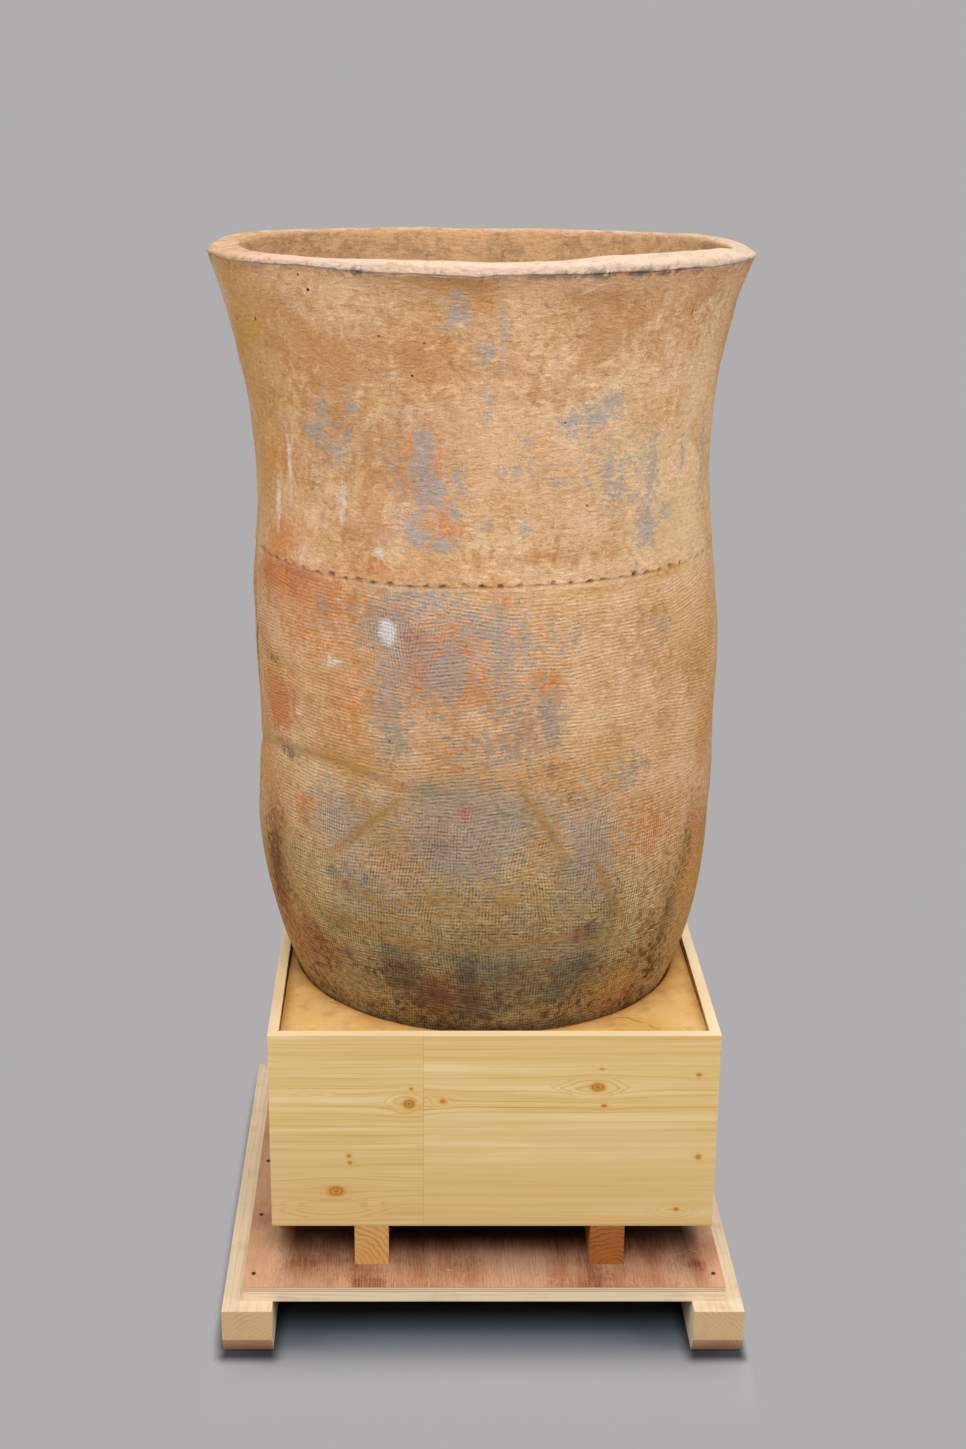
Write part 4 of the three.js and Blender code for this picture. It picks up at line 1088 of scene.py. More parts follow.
def planed_pine(name, settings, along, across, low, knots, swirls, joint):
    """Edge-glued pine, planed and bare. Straight pale bands with fine darker lines run the length
    of each board and swerve round orange-brown knots, under a faint satin."""
    material, tree = new_material(f"Pine, edge-glued and planed, {name.replace('_', ' ')}")
    place = add_node(tree, "TexCoord").outputs["Object"]
    parts = add_node(tree, "SeparateXYZ", {0: place})
    run = add_node(tree, "Math SUBTRACT", {0: parts.outputs[along.upper()], 1: getattr(low, along)})
    rise = add_node(tree, "Math SUBTRACT", {0: parts.outputs[across.upper()], 1: getattr(low, across)})
    second = add_node(tree, "Math GREATER_THAN", {0: run, 1: joint * MM})
    upper = add_node(tree, "Math GREATER_THAN", {0: rise, 1: STRIP_JOINT * MM})

    # The grain swerves: near a knot the lines open into long loops round it
    level, found = rise, [None, None, None]
    for x, y, half_length, half_height in knots:
        dx = add_node(tree, "Math SUBTRACT", {0: run, 1: x * MM})
        dy = add_node(tree, "Math SUBTRACT", {0: rise, 1: y * MM})
        sx = add_node(tree, "Math MULTIPLY", {0: dx, 1: 1 / (half_length * MM)})
        sy = add_node(tree, "Math MULTIPLY", {0: dy, 1: 1 / (half_height * MM)})
        long_way = add_node(tree, "Math MULTIPLY", {0: sx, 1: sx})
        squared = add_node(tree, "Math MULTIPLY_ADD", {0: sy, 1: sy, 2: long_way})
        loop = add_node(tree, "Math MULTIPLY", {0: sy, 1: sy})
        loop = add_node(tree, "Math MULTIPLY", {0: loop, 1: 0.2})
        loop = add_node(tree, "Math MULTIPLY_ADD", {0: long_way, 1: 0.05, 2: loop})
        loop = add_node(tree, "Math MULTIPLY", {0: loop, 1: -1.0})
        loop = add_node(tree, "Math EXPONENT", {0: loop})
        pull = add_node(tree, "Math MULTIPLY", {0: loop, 1: dy})
        level = add_node(tree, "Math MULTIPLY_ADD", {0: pull, 1: -0.85, 2: level})
        inside = add_node(tree, "MapRange", {"Value": squared, "From Min": 1.5, "From Max": 0.3})
        # Rings in the knot, 55% of its radius apart
        rim = add_node(tree, "Math SQRT", {0: squared})
        rim = add_node(tree, "Math MULTIPLY", {0: rim, 1: 2 * math.pi / 0.55})
        rim = add_node(tree, "Math SINE", {0: rim})
        rim = add_node(tree, "MapRange", {"Value": rim, "From Min": 0.2, "From Max": 0.9})
        rim = add_node(tree, "Math MULTIPLY", {0: rim, 1: inside})
        near = add_node(tree, "Math MULTIPLY", {0: squared, 1: -0.3})
        near = add_node(tree, "Math EXPONENT", {0: near})
        for i, mask in enumerate((inside, near, rim)):
            before = found[i]
            found[i] = add_node(tree, "Math MAXIMUM", {0: before, 1: mask}) if before else mask
    knot, halo, ring = found

    # Growth bands 11 mm and lines 2 mm wide, both much longer than wide
    shift = add_node(tree, "Math MULTIPLY_ADD", {0: upper, 1: 5.1, 2: 3.7})
    shift = add_node(tree, "Math MULTIPLY", {0: second, 1: shift})
    flow = stretched_noise(tree, place, (2.6, 2.6, 2.6), 2.0)
    level = add_node(tree, "Math MULTIPLY_ADD", {0: flow, 1: 0.008, 2: level})
    fine = add_node(tree, "CombineXYZ", {"X": run, "Y": level, "Z": shift})
    bands = stretched_noise(tree, fine, (0.9, 92.0, 1.0), 3.0)
    lines = stretched_noise(tree, fine, (1.6, 480.0, 1.0), 2.0)
    wood = add_node(tree, "ValToRGB", {"Fac": bands},
                    ramp=[(0.3, linear("#dfc690")), (0.5, settings.panel), (0.72, linear("#d3b06e"))])
    # Lines gather in the darker bands; the lower strip of the right board has few
    gathered = add_node(tree, "MapRange", {"Value": bands, "From Min": 0.36, "From Max": 0.66,
                                           "To Min": 0.15, "To Max": 0.8})
    few = add_node(tree, "Math SUBTRACT", {0: 1.0, 1: upper})
    few = add_node(tree, "Math MULTIPLY", {0: few, 1: second})
    few = add_node(tree, "Math MULTIPLY_ADD", {0: few, 1: -0.6, 2: 1.0})
    line = add_node(tree, "MapRange", {"Value": lines, "From Min": 0.5, "From Max": 0.62})
    line = add_node(tree, "Math MULTIPLY", {0: line, 1: gathered})
    line = add_node(tree, "Math MULTIPLY", {0: line, 1: few})
    for x, y, half_length, half_height, rings in swirls:
        dx = add_node(tree, "Math SUBTRACT", {0: run, 1: x * MM})
        dx = add_node(tree, "Math MULTIPLY", {0: dx, 1: 1 / (half_length * MM)})
        dx = add_node(tree, "Math MULTIPLY", {0: dx, 1: dx})
        dy = add_node(tree, "Math SUBTRACT", {0: level, 1: y * MM + 0.004})
        dy = add_node(tree, "Math MULTIPLY", {0: dy, 1: 1 / (half_height * MM)})
        dy = add_node(tree, "Math ABSOLUTE", {0: dy})
        off = add_node(tree, "Math ADD", {0: dx, 1: dy})
        off = add_node(tree, "Math MULTIPLY_ADD", {0: bands, 1: 0.9, 2: off})
        within = add_node(tree, "MapRange", {"Value": off, "From Min": 1.3, "From Max": 1.05})
        around = add_node(tree, "Math MULTIPLY", {0: off, 1: 2 * math.pi * rings})
        around = add_node(tree, "Math SINE", {0: around})
        around = add_node(tree, "MapRange",
                          {"Value": around, "From Min": 0.2, "From Max": 1.0, "To Max": 0.6})
        line = add_node(tree, "MixRGB", {"Fac": within, "Color1": line, "Color2": around})
    wood = add_node(tree, "MixRGB", {"Fac": line, "Color1": wood, "Color2": settings.panel_line})
    cloud = stretched_noise(tree, fine, (1.6, 20.0, 1.0), 4.0)
    warm = add_node(tree, "MapRange",
                    {"Value": cloud, "From Min": 0.42, "From Max": 0.62, "To Max": 0.4})
    fair = add_node(tree, "MapRange",
                    {"Value": cloud, "From Min": 0.46, "From Max": 0.36, "To Max": 0.3})
    # The panels are darker towards the bottom
    darker_low = add_node(tree, "MapRange",
                     {"Value": rise, "From Min": 260 * MM, "From Max": 0.0, "To Max": 0.4})
    glow = add_node(tree, "Math MULTIPLY", {0: halo, 1: 0.5})
    ring = add_node(tree, "Math MULTIPLY", {0: ring, 1: 0.65})
    foot = add_node(tree, "MapRange",
                    {"Value": rise, "From Min": 5 * MM, "From Max": 1 * MM, "To Max": 0.6})

    # The joint is a hair line, and the sawn ends along the rim are cream
    off = add_node(tree, "Math SUBTRACT", {0: run, 1: joint * MM})
    off = add_node(tree, "Math ABSOLUTE", {0: off})
    seam = add_node(tree, "MapRange",
                    {"Value": off, "From Min": 1.1 * MM, "From Max": 0.3 * MM, "To Max": 0.35})
    box_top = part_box("box_front")[1].z
    rim = add_node(tree, "Math GREATER_THAN", {0: parts.outputs["Z"], 1: box_top - 1.2 * MM})
    rim = add_node(tree, "Math MULTIPLY", {0: rim, 1: 0.72})
    for share, over in ((warm, linear("#cfa660")), (fair, linear("#e6cf9d")), (darker_low, linear("#c6a364")),
                        (glow, linear("#d0a052")), (knot, settings.knot), (ring, linear("#874f12")),
                        (foot, linear("#a97f3c")), (seam, linear("#9a7440")), (rim, linear("#f0d8ae"))):
        wood = add_node(tree, "MixRGB", {"Fac": share, "Color1": wood, "Color2": over})
    relief = add_node(tree, "Math MULTIPLY", {0: lines, 1: 0.05 * MM})
    relief = add_node(tree, "Math MULTIPLY_ADD", {0: seam, 1: -0.5 * MM, 2: relief})
    finish_surface(tree, wood, relief, roughness=0.5, IOR=1.45, Specular_IOR_Level=0.3)
    return material


class JARSTAND_OT_finish_box(Operator):
    """Give the box's panels their planed pine finish, with knots and a joint"""

    bl_idname = "jar_stand.finish_box"
    bl_label = "Box"

    def execute(self, context):
        timber = context.scene.timber_settings
        faces = {"box_front": ("x", "z", FRONT_KNOTS, FRONT_SWIRLS, BOARD_JOINT),
                 "box_back": ("x", "z", PLAIN_KNOTS, PLAIN_SWIRLS, 560),
                 "box_left": ("y", "z", PLAIN_KNOTS, PLAIN_SWIRLS[:1], 410),
                 "box_right": ("y", "z", PLAIN_KNOTS[1:], PLAIN_SWIRLS[1:], 260),
                 "box_floor": ("x", "y", PLAIN_KNOTS[:1], [], 400)}
        for name, (along, across, knots, swirls, joint) in faces.items():
            low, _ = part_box(name)
            panel = planed_pine(name, timber, along, across, low, knots, swirls, joint)
            dress([name], panel, 0.8 * MM)
        return {"FINISHED"}


def sawn_pine(name, settings, along, pith, pitch, tint, end_tint, depth):
    """Construction pine, sawn and bare. Growth rings round the pith show as arcs on the ends and
    as long flames on the faces, over dry saw-rough wood. pith is its place across the timber,
    pitch is the ring spacing in millimetres, and depth is how dark the rings are."""
    material, tree = new_material(f"Pine, sawn and bare, {name.replace('_', ' ')}")
    place = add_node(tree, "TexCoord").outputs["Object"]
    parts = add_node(tree, "SeparateXYZ", {0: place})
    across = [axis for axis in "XYZ" if axis != along]
    squash = {"X": (0.8, 14.0, 14.0), "Y": (14.0, 0.8, 14.0)}[along]
    slow = add_node(tree, "VectorMath MULTIPLY", {0: place, 1: squash})
    wander = add_node(tree, "TexNoise", {"Vector": slow, "Scale": 1.0, "Detail": 2.0})
    aside = add_node(tree, "Math SUBTRACT", {0: parts.outputs[across[0]], 1: pith[0]})
    above = add_node(tree, "Math SUBTRACT", {0: parts.outputs[across[1]], 1: pith[1]})
    radius = add_node(tree, "Math MULTIPLY", {0: aside, 1: aside})
    radius = add_node(tree, "Math MULTIPLY_ADD", {0: above, 1: above, 2: radius})
    radius = add_node(tree, "Math SQRT", {0: radius})
    radius = add_node(tree, "Math MULTIPLY_ADD", {0: wander, 1: 0.03, 2: radius})
    shaky = add_node(tree, "TexNoise", {"Vector": slow, "Scale": 5.0, "Detail": 3.0})
    radius = add_node(tree, "Math MULTIPLY_ADD", {0: shaky, 1: 0.012, 2: radius})
    turns = add_node(tree, "Math MULTIPLY", {0: radius, 1: 2 * math.pi / (pitch * MM)})
    ring = add_node(tree, "Math SINE", {0: turns})
    ring = add_node(tree, "MapRange", {"Value": ring, "From Min": -0.1, "From Max": 1.0})
    # Fibres 2 mm wide and 125 mm long
    thin = {"X": (8.0, 460.0, 460.0), "Y": (460.0, 8.0, 460.0)}[along]
    fibre = stretched_noise(tree, place, thin, 2.0)
    blotch = add_node(tree, "TexNoise", {"Vector": place, "Scale": 18.0, "Detail": 4.0})
    # Sawn ends are greyer and show the rings plainly; slanted cuts that face down are redder and get
    # painted light, paler, in place of the light bounced up from the floor
    facing = add_node(tree, "SeparateXYZ", {0: add_node(tree, "NewGeometry").outputs["Normal"]})
    end = add_node(tree, "Math ABSOLUTE", {0: facing.outputs[along]})
    end = add_node(tree, "Math GREATER_THAN", {0: end, 1: 0.7})
    slant = add_node(tree, "Math LESS_THAN", {0: facing.outputs["Z"], 1: -0.3})
    slant = add_node(tree, "Math MULTIPLY", {0: slant, 1: end})
    plain = add_node(tree, "MapRange", {"Value": end, "To Min": 0.16, "To Max": 0.36})
    mix = add_node(tree, "Math MULTIPLY", {0: ring, 1: plain})
    mix = add_node(tree, "Math MULTIPLY_ADD", {0: fibre, 1: 0.6, 2: mix})
    mix = add_node(tree, "MapRange", {"Value": mix, "From Min": 0.2, "From Max": 1.0})
    wood = add_node(tree, "MixRGB", {"Fac": mix, "Color1": settings.sawn, "Color2": settings.sawn_line})
    grey = add_node(tree, "Math MULTIPLY", {0: end, 1: 0.55})
    wood = add_node(tree, "MixRGB", {"Fac": grey, "Color1": wood, "Color2": linear("#bd9a74")})
    # Painted light on the slanted cuts that face down
    slant = add_node(tree, "Math MULTIPLY", {0: slant, 1: 0.9})
    wood = add_node(tree, "MixRGB", {"Fac": slant, "Color1": wood, "Color2": linear("#ffc9a0")})
    tone = add_node(tree, "MixRGB", {"Fac": end, "Color1": linear(tint), "Color2": linear(end_tint)})
    wood = add_node(tree, "MixRGB", {"Fac": 1.0, "Color1": wood, "Color2": tone}, blend_type="MULTIPLY")
    late = add_node(tree, "MapRange", {"Value": blotch, "From Min": 0.36, "From Max": 0.6})
    late = add_node(tree, "Math MULTIPLY", {0: late, 1: ring})
    late = add_node(tree, "Math MULTIPLY", {0: late, 1: depth})
    wood = add_node(tree, "MixRGB", {"Fac": late, "Color1": wood, "Color2": (0.5, 0.36, 0.2, 1)},
                    blend_type="MULTIPLY")
    dirt = add_node(tree, "MapRange",
                    {"Value": blotch, "From Min": 0.55, "From Max": 0.78, "To Max": 0.3})
    wood = add_node(tree, "MixRGB", {"Fac": dirt, "Color1": wood, "Color2": linear("#a98560")})
    relief = add_node(tree, "Math MULTIPLY", {0: fibre, 1: 0.2 * MM})
    relief = add_node(tree, "Math MULTIPLY_ADD", {0: ring, 1: 0.08 * MM, 2: relief})
    finish_surface(tree, wood, relief, roughness=0.75, IOR=1.45, Specular_IOR_Level=0.3)
    return material


class JARSTAND_OT_finish_bearers(Operator):
    """Give the two bearers under the box and the cleats in it their sawn pine finish"""

    bl_idname = "jar_stand.finish_bearers"
    bl_label = "Bearers and cleats"

    def execute(self, context):
        timber = context.scene.timber_settings
        for name, aside, tint, depth in (("bearer_left", -0.03, "#f4d79c", 0.5),
                                         ("bearer_right", 0.05, "#bb844a", 0.9)):
            low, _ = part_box(name)
            pith = (low.x + aside, low.z - 0.02)
            wood = sawn_pine(name, timber, "Y", pith, 10, tint, tint, depth)
            dress([name], wood, 1.2 * MM)
        cleats = [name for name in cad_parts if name.startswith("cleat_")]
        wood = sawn_pine("cleats", timber, "Y", (0, 0.2), 6, "#fff4e0", "#fff4e0", 0.2)
        dress(cleats, wood, 0.8 * MM)
        return {"FINISHED"}


def scuffed_plywood(settings, top):
    """Plywood with a reddish hardwood face, sanded and scuffed. Short dark pores run front to back,
    with pale scratches over them, and the cut edge shows the plies."""
    material, tree = new_material("Hardwood plywood, sanded and scuffed")
    place = add_node(tree, "TexCoord").outputs["Object"]
    parts = add_node(tree, "SeparateXYZ", {0: place})
    broad = stretched_noise(tree, place, (22.0, 3.0, 1.0), 5.0)
    # Grain 2.4 mm wide and 70 mm long, and pores 17 mm long, drawn wider than real so that they show
    grain = stretched_noise(tree, place, (420.0, 14.0, 1.0), 3.0)
    pores = stretched_noise(tree, place, (600.0, 60.0, 1.0), 2.0)
    cloud = add_node(tree, "TexNoise", {"Vector": place, "Scale": 7.0, "Detail": 5.0})
    tone = add_node(tree, "MapRange", {"Value": broad, "From Min": 0.2, "From Max": 0.6})
    wood = add_node(tree, "MixRGB",
                    {"Fac": tone, "Color1": linear("#a06242"), "Color2": settings.plywood})
    streak = add_node(tree, "MapRange",
                      {"Value": grain, "From Min": 0.46, "From Max": 0.68, "To Max": 0.34})
    pore = add_node(tree, "MapRange",
                    {"Value": pores, "From Min": 0.56, "From Max": 0.68, "To Max": 0.5})
    worn = add_node(tree, "MapRange",
                    {"Value": cloud, "From Min": 0.5, "From Max": 0.66, "To Max": 0.4})
    stain = add_node(tree, "MapRange",
                     {"Value": cloud, "From Min": 0.46, "From Max": 0.34, "To Max": 1.3})
    stain = add_node(tree, "Math MULTIPLY", {0: stain, 1: grain})
    for share, shade in ((streak, "#86492b"), (pore, "#5e3222"), (worn, "#cfa58a"), (stain, "#6e2c18")):
        wood = add_node(tree, "MixRGB", {"Fac": share, "Color1": wood, "Color2": linear(shade)})
    # Scratches 2 mm wide and up to 50 mm long, which run three ways
    for turn, shade in ((26, "#e6ccb6"), (-48, "#e0c0a6"), (70, "#6a3a28")):
        turned = add_node(tree, "VectorRotate", {"Vector": place, "Angle": math.radians(turn)},
                          rotation_type="Z_AXIS")
        scuff = stretched_noise(tree, turned, (20.0, 420.0, 1.0), 1.0)
        scuff = add_node(tree, "MapRange",
                         {"Value": scuff, "From Min": 0.72, "From Max": 0.78, "To Max": 0.7})
        wood = add_node(tree, "MixRGB", {"Fac": scuff, "Color1": wood, "Color2": linear(shade)})
    # Five plies; the face veneer is 1 mm thick
    deep = add_node(tree, "Math SUBTRACT", {0: top, 1: parts.outputs["Z"]})
    turns = add_node(tree, "Math MULTIPLY", {0: deep, 1: 2 * math.pi / (4.4 * MM)})
    ply = add_node(tree, "Math SINE", {0: turns})
    ply = add_node(tree, "MapRange", {"Value": ply, "From Min": 0.2, "From Max": 0.8, "To Max": 0.55})
    core = add_node(tree, "MixRGB",
                    {"Fac": ply, "Color1": settings.plywood_core, "Color2": linear("#a0785a")})
    below = add_node(tree, "Math GREATER_THAN", {0: deep, 1: 1.0 * MM})
    wood = add_node(tree, "MixRGB", {"Fac": below, "Color1": wood, "Color2": core})
    # Beside the box the face is painted paler, painted light that makes up for the box's shadow, and
    # behind the box's front it is painted near black as the box's shadow
    box_low, box_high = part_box("box_front")
    middle = (box_low.x + box_high.x) / 2
    aside = add_node(tree, "Math SUBTRACT", {0: parts.outputs["X"], 1: middle})
    aside = add_node(tree, "Math ABSOLUTE", {0: aside})
    half = box_high.x - middle
    # Painted light beside the box
    bleached = add_node(tree, "MapRange", {"Value": aside, "From Min": half - 20 * MM,
                                           "From Max": half + 10 * MM, "To Max": 0.4})
    wood = add_node(tree, "MixRGB", {"Fac": bleached, "Color1": wood, "Color2": linear("#d3a27e")})
    # Painted shadow under the box, behind its front
    aside = add_node(tree, "MapRange",
                     {"Value": aside, "From Min": half - 5 * MM, "From Max": half - 40 * MM})
    behind = add_node(tree, "Math MULTIPLY_ADD", {0: grain, 1: 60 * MM, 2: parts.outputs["Y"]})
    behind = add_node(tree, "MapRange", {"Value": behind, "From Min": box_low.y - 40 * MM,
                                         "From Max": box_low.y + 150 * MM})
    painted_box_shadow = add_node(tree, "Math MULTIPLY", {0: aside, 1: behind})
    wood = add_node(tree, "MixRGB", {"Fac": painted_box_shadow, "Color1": wood, "Color2": (0.06, 0.012, 0.006, 1)},
                    blend_type="MULTIPLY")
    relief = add_node(tree, "Math MULTIPLY", {0: pores, 1: -0.3 * MM})
    finish_surface(tree, wood, relief, roughness=0.62, IOR=1.45, Specular_IOR_Level=0.2)
    return material


class JARSTAND_OT_finish_pallet(Operator):
    """Give the plywood deck, the cross boards and the skids their finish"""

    bl_idname = "jar_stand.finish_pallet"
    bl_label = "Pallet"

    def execute(self, context):
        timber = context.scene.timber_settings
        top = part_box("deck_plywood")[1].z
        dress(["deck_plywood"], scuffed_plywood(timber, top), 0.6 * MM)
        for name, aside in (("skid_left", 0.16), ("skid_right", -0.07)):
            low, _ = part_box(name)
            pith = (low.x + aside, low.z - 0.06)
            wood = sawn_pine(name, timber, "Y", pith, 8, "#eeeeec", "#f5ecdd", 0.05)
            dress([name], wood, 1.5 * MM)
        boards = sorted(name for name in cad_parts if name.startswith("cross_board_"))
        for i, name in enumerate(boards):
            low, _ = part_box(name)
            pith = (low.y - 0.05 - 0.03 * i, low.z - 0.08)
            wood = sawn_pine(name, timber, "X", pith, 6, "#f5f5f6", "#f5f5f6", 0.1)
            dress([name], wood, 1.0 * MM)
        return {"FINISHED"}


class JARSTAND_OT_finish_nails(Operator):
    """Give the nails their dull drawn steel"""

    bl_idname = "jar_stand.finish_nails"
    bl_label = "Nails"

    def execute(self, context):
        timber = context.scene.timber_settings
        names = [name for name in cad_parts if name.startswith("deck_nail_")]
        dress(names, drawn_steel(timber), 0.25 * MM)
        return {"FINISHED"}


def drawn_steel(settings):
    """Mild steel wire, drawn and headed cold. It is a dull grey metal with brown specks of rust."""
    material, tree = new_material("Mild steel, drawn wire with a stamped head")
    place = add_node(tree, "TexCoord").outputs["Object"]
    # Specks of rust 1 mm across
    specks = add_node(tree, "TexNoise", {"Vector": place, "Scale": 700.0, "Detail": 3.0})
    rust = add_node(tree, "MapRange",
                    {"Value": specks, "From Min": 0.4, "From Max": 0.55, "To Max": 0.85})
    metal = add_node(tree, "MixRGB",
                     {"Fac": rust, "Color1": settings.steel, "Color2": linear("#4a2b18")})
    dull = add_node(tree, "MapRange", {"Value": rust, "To Min": 0.42, "To Max": 0.8})
    relief = add_node(tree, "Math MULTIPLY", {0: specks, 1: 0.08 * MM})
    finish_surface(tree, metal, relief, roughness=dull, Metallic=0.9)
    return material


# The photograph's camera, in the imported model's frame
CAMERA_PLACE = (-0.1219, -3.8257, 2.3894)
CAMERA_PITCH = 71.585  # degrees from straight down
CAMERA_SHIFT = 0.0463
SENSOR = 36.0
LAMPS_AIM = (0, 0, 1.0)
# Soft boxes: name, place and side length in metres, and the setting that holds their power
SOFT_BOXES = [("Overhead soft box", (0.1, -4.2, 5.6), 3.3, "key_power"),
              ("Left soft box", (-4.5, -2.2, 3.2), 2.6, "left_power"),
              ("Right soft box", (4.5, -2.2, 3.2), 2.6, "right_power"),
              ("Back soft box", (0.6, 4.6, 4.6), 3.0, "back_power")]
FLOOR_RADIUS = 6
FLOOR_SIDES = 96


def add_soft_box(name, place, size, power):
    """A square area lamp that points at the middle of the object."""
    lamp = bpy.data.lights.new(name, "AREA")
    lamp.shape = "SQUARE"
    lamp.size = size
    lamp.energy = power
    soft_box = bpy.data.objects.new(name, lamp)
    soft_box.location = place
    direction = np.array(LAMPS_AIM) - np.array(place)
    soft_box.rotation_euler = (math.atan2(math.hypot(direction[0], direction[1]), -direction[2]),
                               0, math.atan2(direction[1], direction[0]) - math.pi / 2)
    bpy.context.scene.collection.objects.link(soft_box)


def add_floor(settings):
    """A round floor that takes the object's shadow and fades into the background beside it."""
    mesh = bpy.data.meshes.new("floor")
    rim = [(FLOOR_RADIUS * math.sin(a), -FLOOR_RADIUS * math.cos(a), 0)
           for a in np.linspace(0, 2 * math.pi, FLOOR_SIDES, endpoint=False)]
    mesh.from_pydata(rim, [], [list(range(FLOOR_SIDES))])
    floor = bpy.data.objects.new("floor", mesh)
    bpy.context.scene.collection.objects.link(floor)
    material, tree = new_material("Grey paper sweep")
    place = add_node(tree, "TexCoord").outputs["Object"]
    _, high = cad_box
    outside = add_node(tree, "VectorMath ABSOLUTE", {0: place})
    outside = add_node(tree, "VectorMath SUBTRACT", {0: outside, 1: (high.x, high.y, 0)})
    outside = add_node(tree, "VectorMath MAXIMUM", {0: outside, 1: (0, 0, 0)})
    outside = add_node(tree, "VectorMath MULTIPLY", {0: outside, 1: (12, 1, 1)})
    away = add_node(tree, "VectorMath LENGTH", {0: outside}).outputs["Value"]
    far = add_node(tree, "MapRange", {"Value": away, "From Min": 0.02, "From Max": settings.fade},
                   interpolation_type="SMOOTHSTEP")
    path = add_node(tree, "LightPath")
    seen = add_node(tree, "Math MAXIMUM",
                    {0: path.outputs["Is Camera Ray"], 1: path.outputs["Is Glossy Ray"]})
    share = add_node(tree, "Math MULTIPLY", {0: far, 1: seen})
    # A painted shadow lies under the pallet, and a little in front of it and behind it
    spot = add_node(tree, "SeparateXYZ", {0: place})
    aside = add_node(tree, "Math ABSOLUTE", {0: spot.outputs["X"]})
    aside = add_node(tree, "MapRange",
                     {"Value": aside, "From Min": high.x + 0.01, "From Max": high.x - 0.1},
                     interpolation_type="SMOOTHSTEP")
    along = add_node(tree, "Math ABSOLUTE", {0: spot.outputs["Y"]})
    along = add_node(tree, "MapRange",
                     {"Value": along, "From Min": high.y + 0.09, "From Max": high.y - 0.1},
                     interpolation_type="SMOOTHSTEP")
    painted_pallet_shadow = add_node(tree, "Math MULTIPLY", {0: aside, 1: along})
    paper = add_node(tree, "MixRGB",
                     {"Fac": painted_pallet_shadow, "Color1": linear("#a3a2a4"), "Color2": linear("#4b545e")})
    # A black line of shade where each skid meets the floor
    for name in ("skid_left", "skid_right"):
        skid_low, skid_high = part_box(name)
        centre = ((skid_low.x + skid_high.x) / 2, (skid_low.y + skid_high.y) / 2, 0)
        half = ((skid_high.x - skid_low.x) / 2 - 5 * MM, (skid_high.y - skid_low.y) / 2, 0)
        off = add_node(tree, "VectorMath SUBTRACT", {0: place, 1: centre})
        off = add_node(tree, "VectorMath ABSOLUTE", {0: off})
        off = add_node(tree, "VectorMath SUBTRACT", {0: off, 1: half})
        off = add_node(tree, "VectorMath MAXIMUM", {0: off, 1: (0, 0, 0)})
        off = add_node(tree, "VectorMath LENGTH", {0: off}).outputs["Value"]
        contact = add_node(tree, "MapRange",
                           {"Value": off, "From Min": 34 * MM, "From Max": -8 * MM, "To Max": 0.95},
                           interpolation_type="SMOOTHSTEP")
        paper = add_node(tree, "MixRGB", {"Fac": contact, "Color1": paper, "Color2": linear("#0a0908")})
    lit = add_node(tree, "BsdfDiffuse", {"Color": paper})
    glow = add_node(tree, "Emission", {"Color": settings.background, "Strength": 1.0})
    mixed = add_node(tree, "MixShader", {0: share, 1: lit, 2: glow})
    add_node(tree, "OutputMaterial", {"Surface": mixed})
    mesh.materials.append(material)


def add_sky(settings):
    """A plain background, and even light from all round."""
    world = bpy.data.worlds.new("Studio")
    world.use_nodes = True
    tree = world.node_tree
    tree.nodes.clear()
    path = add_node(tree, "LightPath")
    seen = add_node(tree, "Math MAXIMUM",
                    {0: path.outputs["Is Camera Ray"], 1: path.outputs["Is Glossy Ray"]})
    seen = add_node(tree, "Math MAXIMUM", {0: seen, 1: path.outputs["Is Transmission Ray"]})
    shown = add_node(tree, "Background", {"Color": settings.background, "Strength": 1.0})
    light = add_node(tree, "Background", {"Color": linear("#ffffff"), "Strength": settings.sky})
    mixed = add_node(tree, "MixShader", {0: seen, 1: light, 2: shown})
    add_node(tree, "OutputWorld", {"Surface": mixed})
    bpy.context.scene.world = world


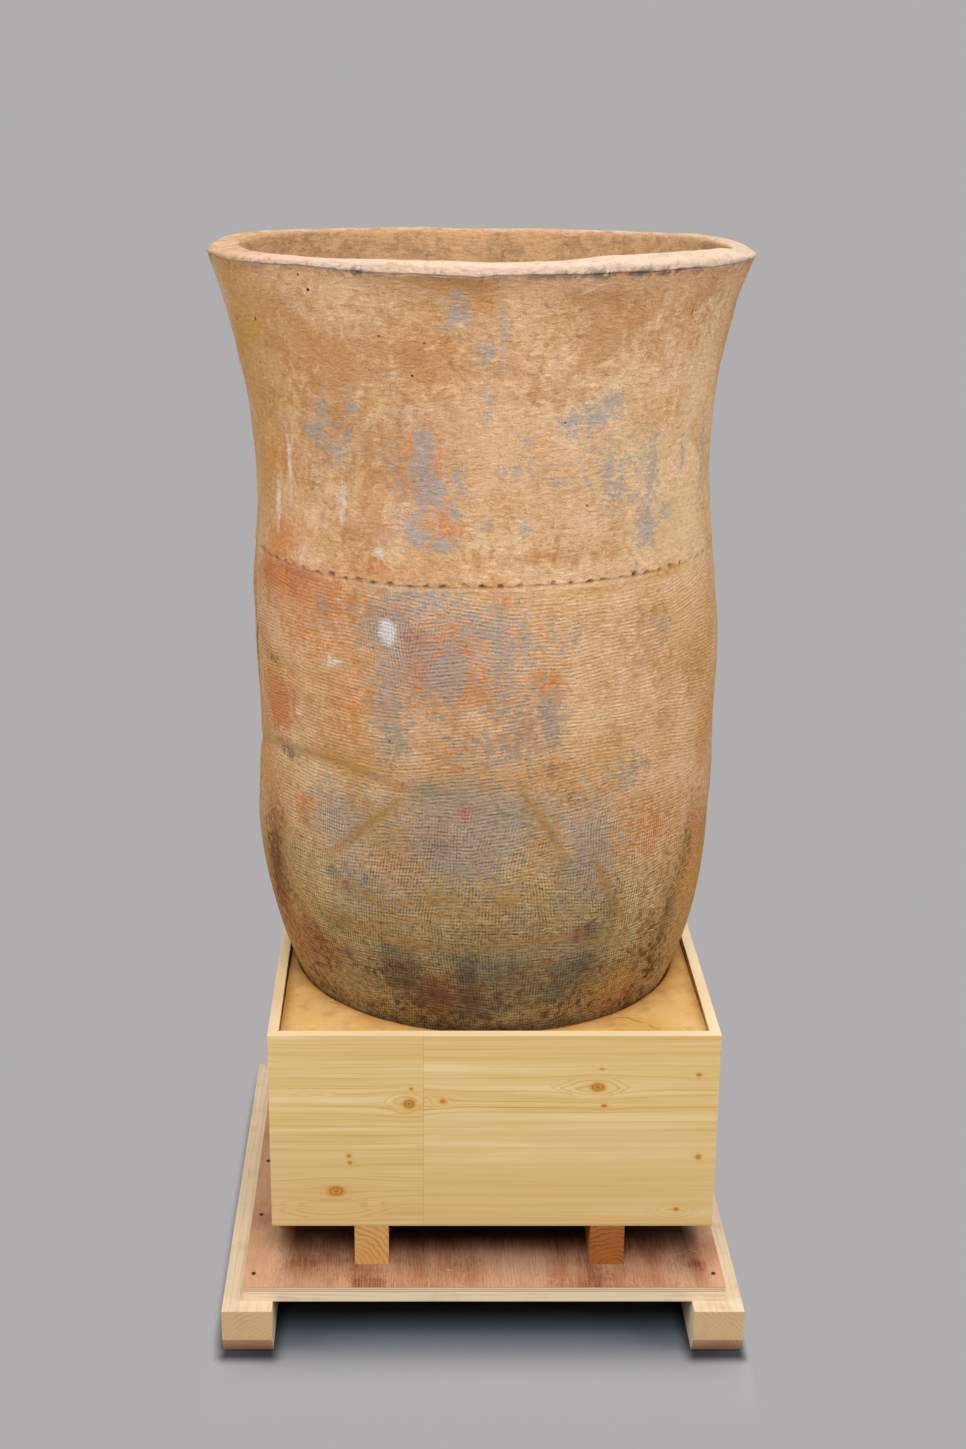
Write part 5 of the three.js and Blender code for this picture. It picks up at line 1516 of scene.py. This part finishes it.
class JARSTAND_OT_add_stage(Operator):
    """Add the camera, the lamps, the floor and the background"""

    bl_idname = "jar_stand.add_stage"
    bl_label = "Stage"

    def execute(self, context):
        settings = context.scene.stage_settings
        lens = bpy.data.cameras.new("Camera")
        lens.lens = settings.lens
        lens.sensor_width = SENSOR
        lens.sensor_fit = "AUTO"
        lens.shift_x = CAMERA_SHIFT
        camera = bpy.data.objects.new("Camera", lens)
        camera.location = CAMERA_PLACE
        camera.rotation_euler = (math.radians(CAMERA_PITCH), 0, 0)
        context.scene.collection.objects.link(camera)
        context.scene.camera = camera
        for name, place, size, power in SOFT_BOXES:
            add_soft_box(name, place, size, getattr(settings, power))
        add_floor(settings)
        add_sky(settings)
        context.scene.view_settings.view_transform = "Standard"
        return {"FINISHED"}


STEPS = (JARSTAND_OT_add_stage, JARSTAND_OT_add_jar, JARSTAND_OT_add_foam, JARSTAND_OT_finish_box,
         JARSTAND_OT_finish_bearers, JARSTAND_OT_finish_pallet, JARSTAND_OT_finish_nails)


class JARSTAND_PT_steps(Panel):
    """The steps that build the jar on its stand"""

    bl_idname = "JARSTAND_PT_steps"
    bl_label = "Burial jar"
    bl_space_type = "VIEW_3D"
    bl_region_type = "UI"
    bl_category = "Burial jar"

    def draw(self, context):
        for settings in SETTINGS:
            box = self.layout.box()
            group = getattr(context.scene, settings)
            # The first two properties are Blender's own
            for name in group.bl_rna.properties.keys()[2:]:
                box.prop(group, name)
        for step in STEPS:
            self.layout.operator(step.bl_idname)


SETTINGS = {"jar_settings": JarSettings, "foam_settings": FoamSettings,
            "timber_settings": TimberSettings, "stage_settings": StageSettings}


def register():
    """Registers the classes and puts their settings on the scene."""
    for cls in (*SETTINGS.values(), *STEPS, JARSTAND_PT_steps):
        bpy.utils.register_class(cls)
    for name, group in SETTINGS.items():
        setattr(bpy.types.Scene, name, PointerProperty(type=group))


def unregister():
    """Takes the settings and the classes away again."""
    for name in SETTINGS:
        delattr(bpy.types.Scene, name)
    for cls in reversed((*SETTINGS.values(), *STEPS, JARSTAND_PT_steps)):
        bpy.utils.unregister_class(cls)


def main():
    """Builds everything in order."""
    register()
    bpy.ops.jar_stand.add_stage()
    bpy.ops.jar_stand.add_jar()
    bpy.ops.jar_stand.add_foam()
    bpy.ops.jar_stand.finish_box()
    bpy.ops.jar_stand.finish_bearers()
    bpy.ops.jar_stand.finish_pallet()
    bpy.ops.jar_stand.finish_nails()


if __name__ == "__main__":
    main()
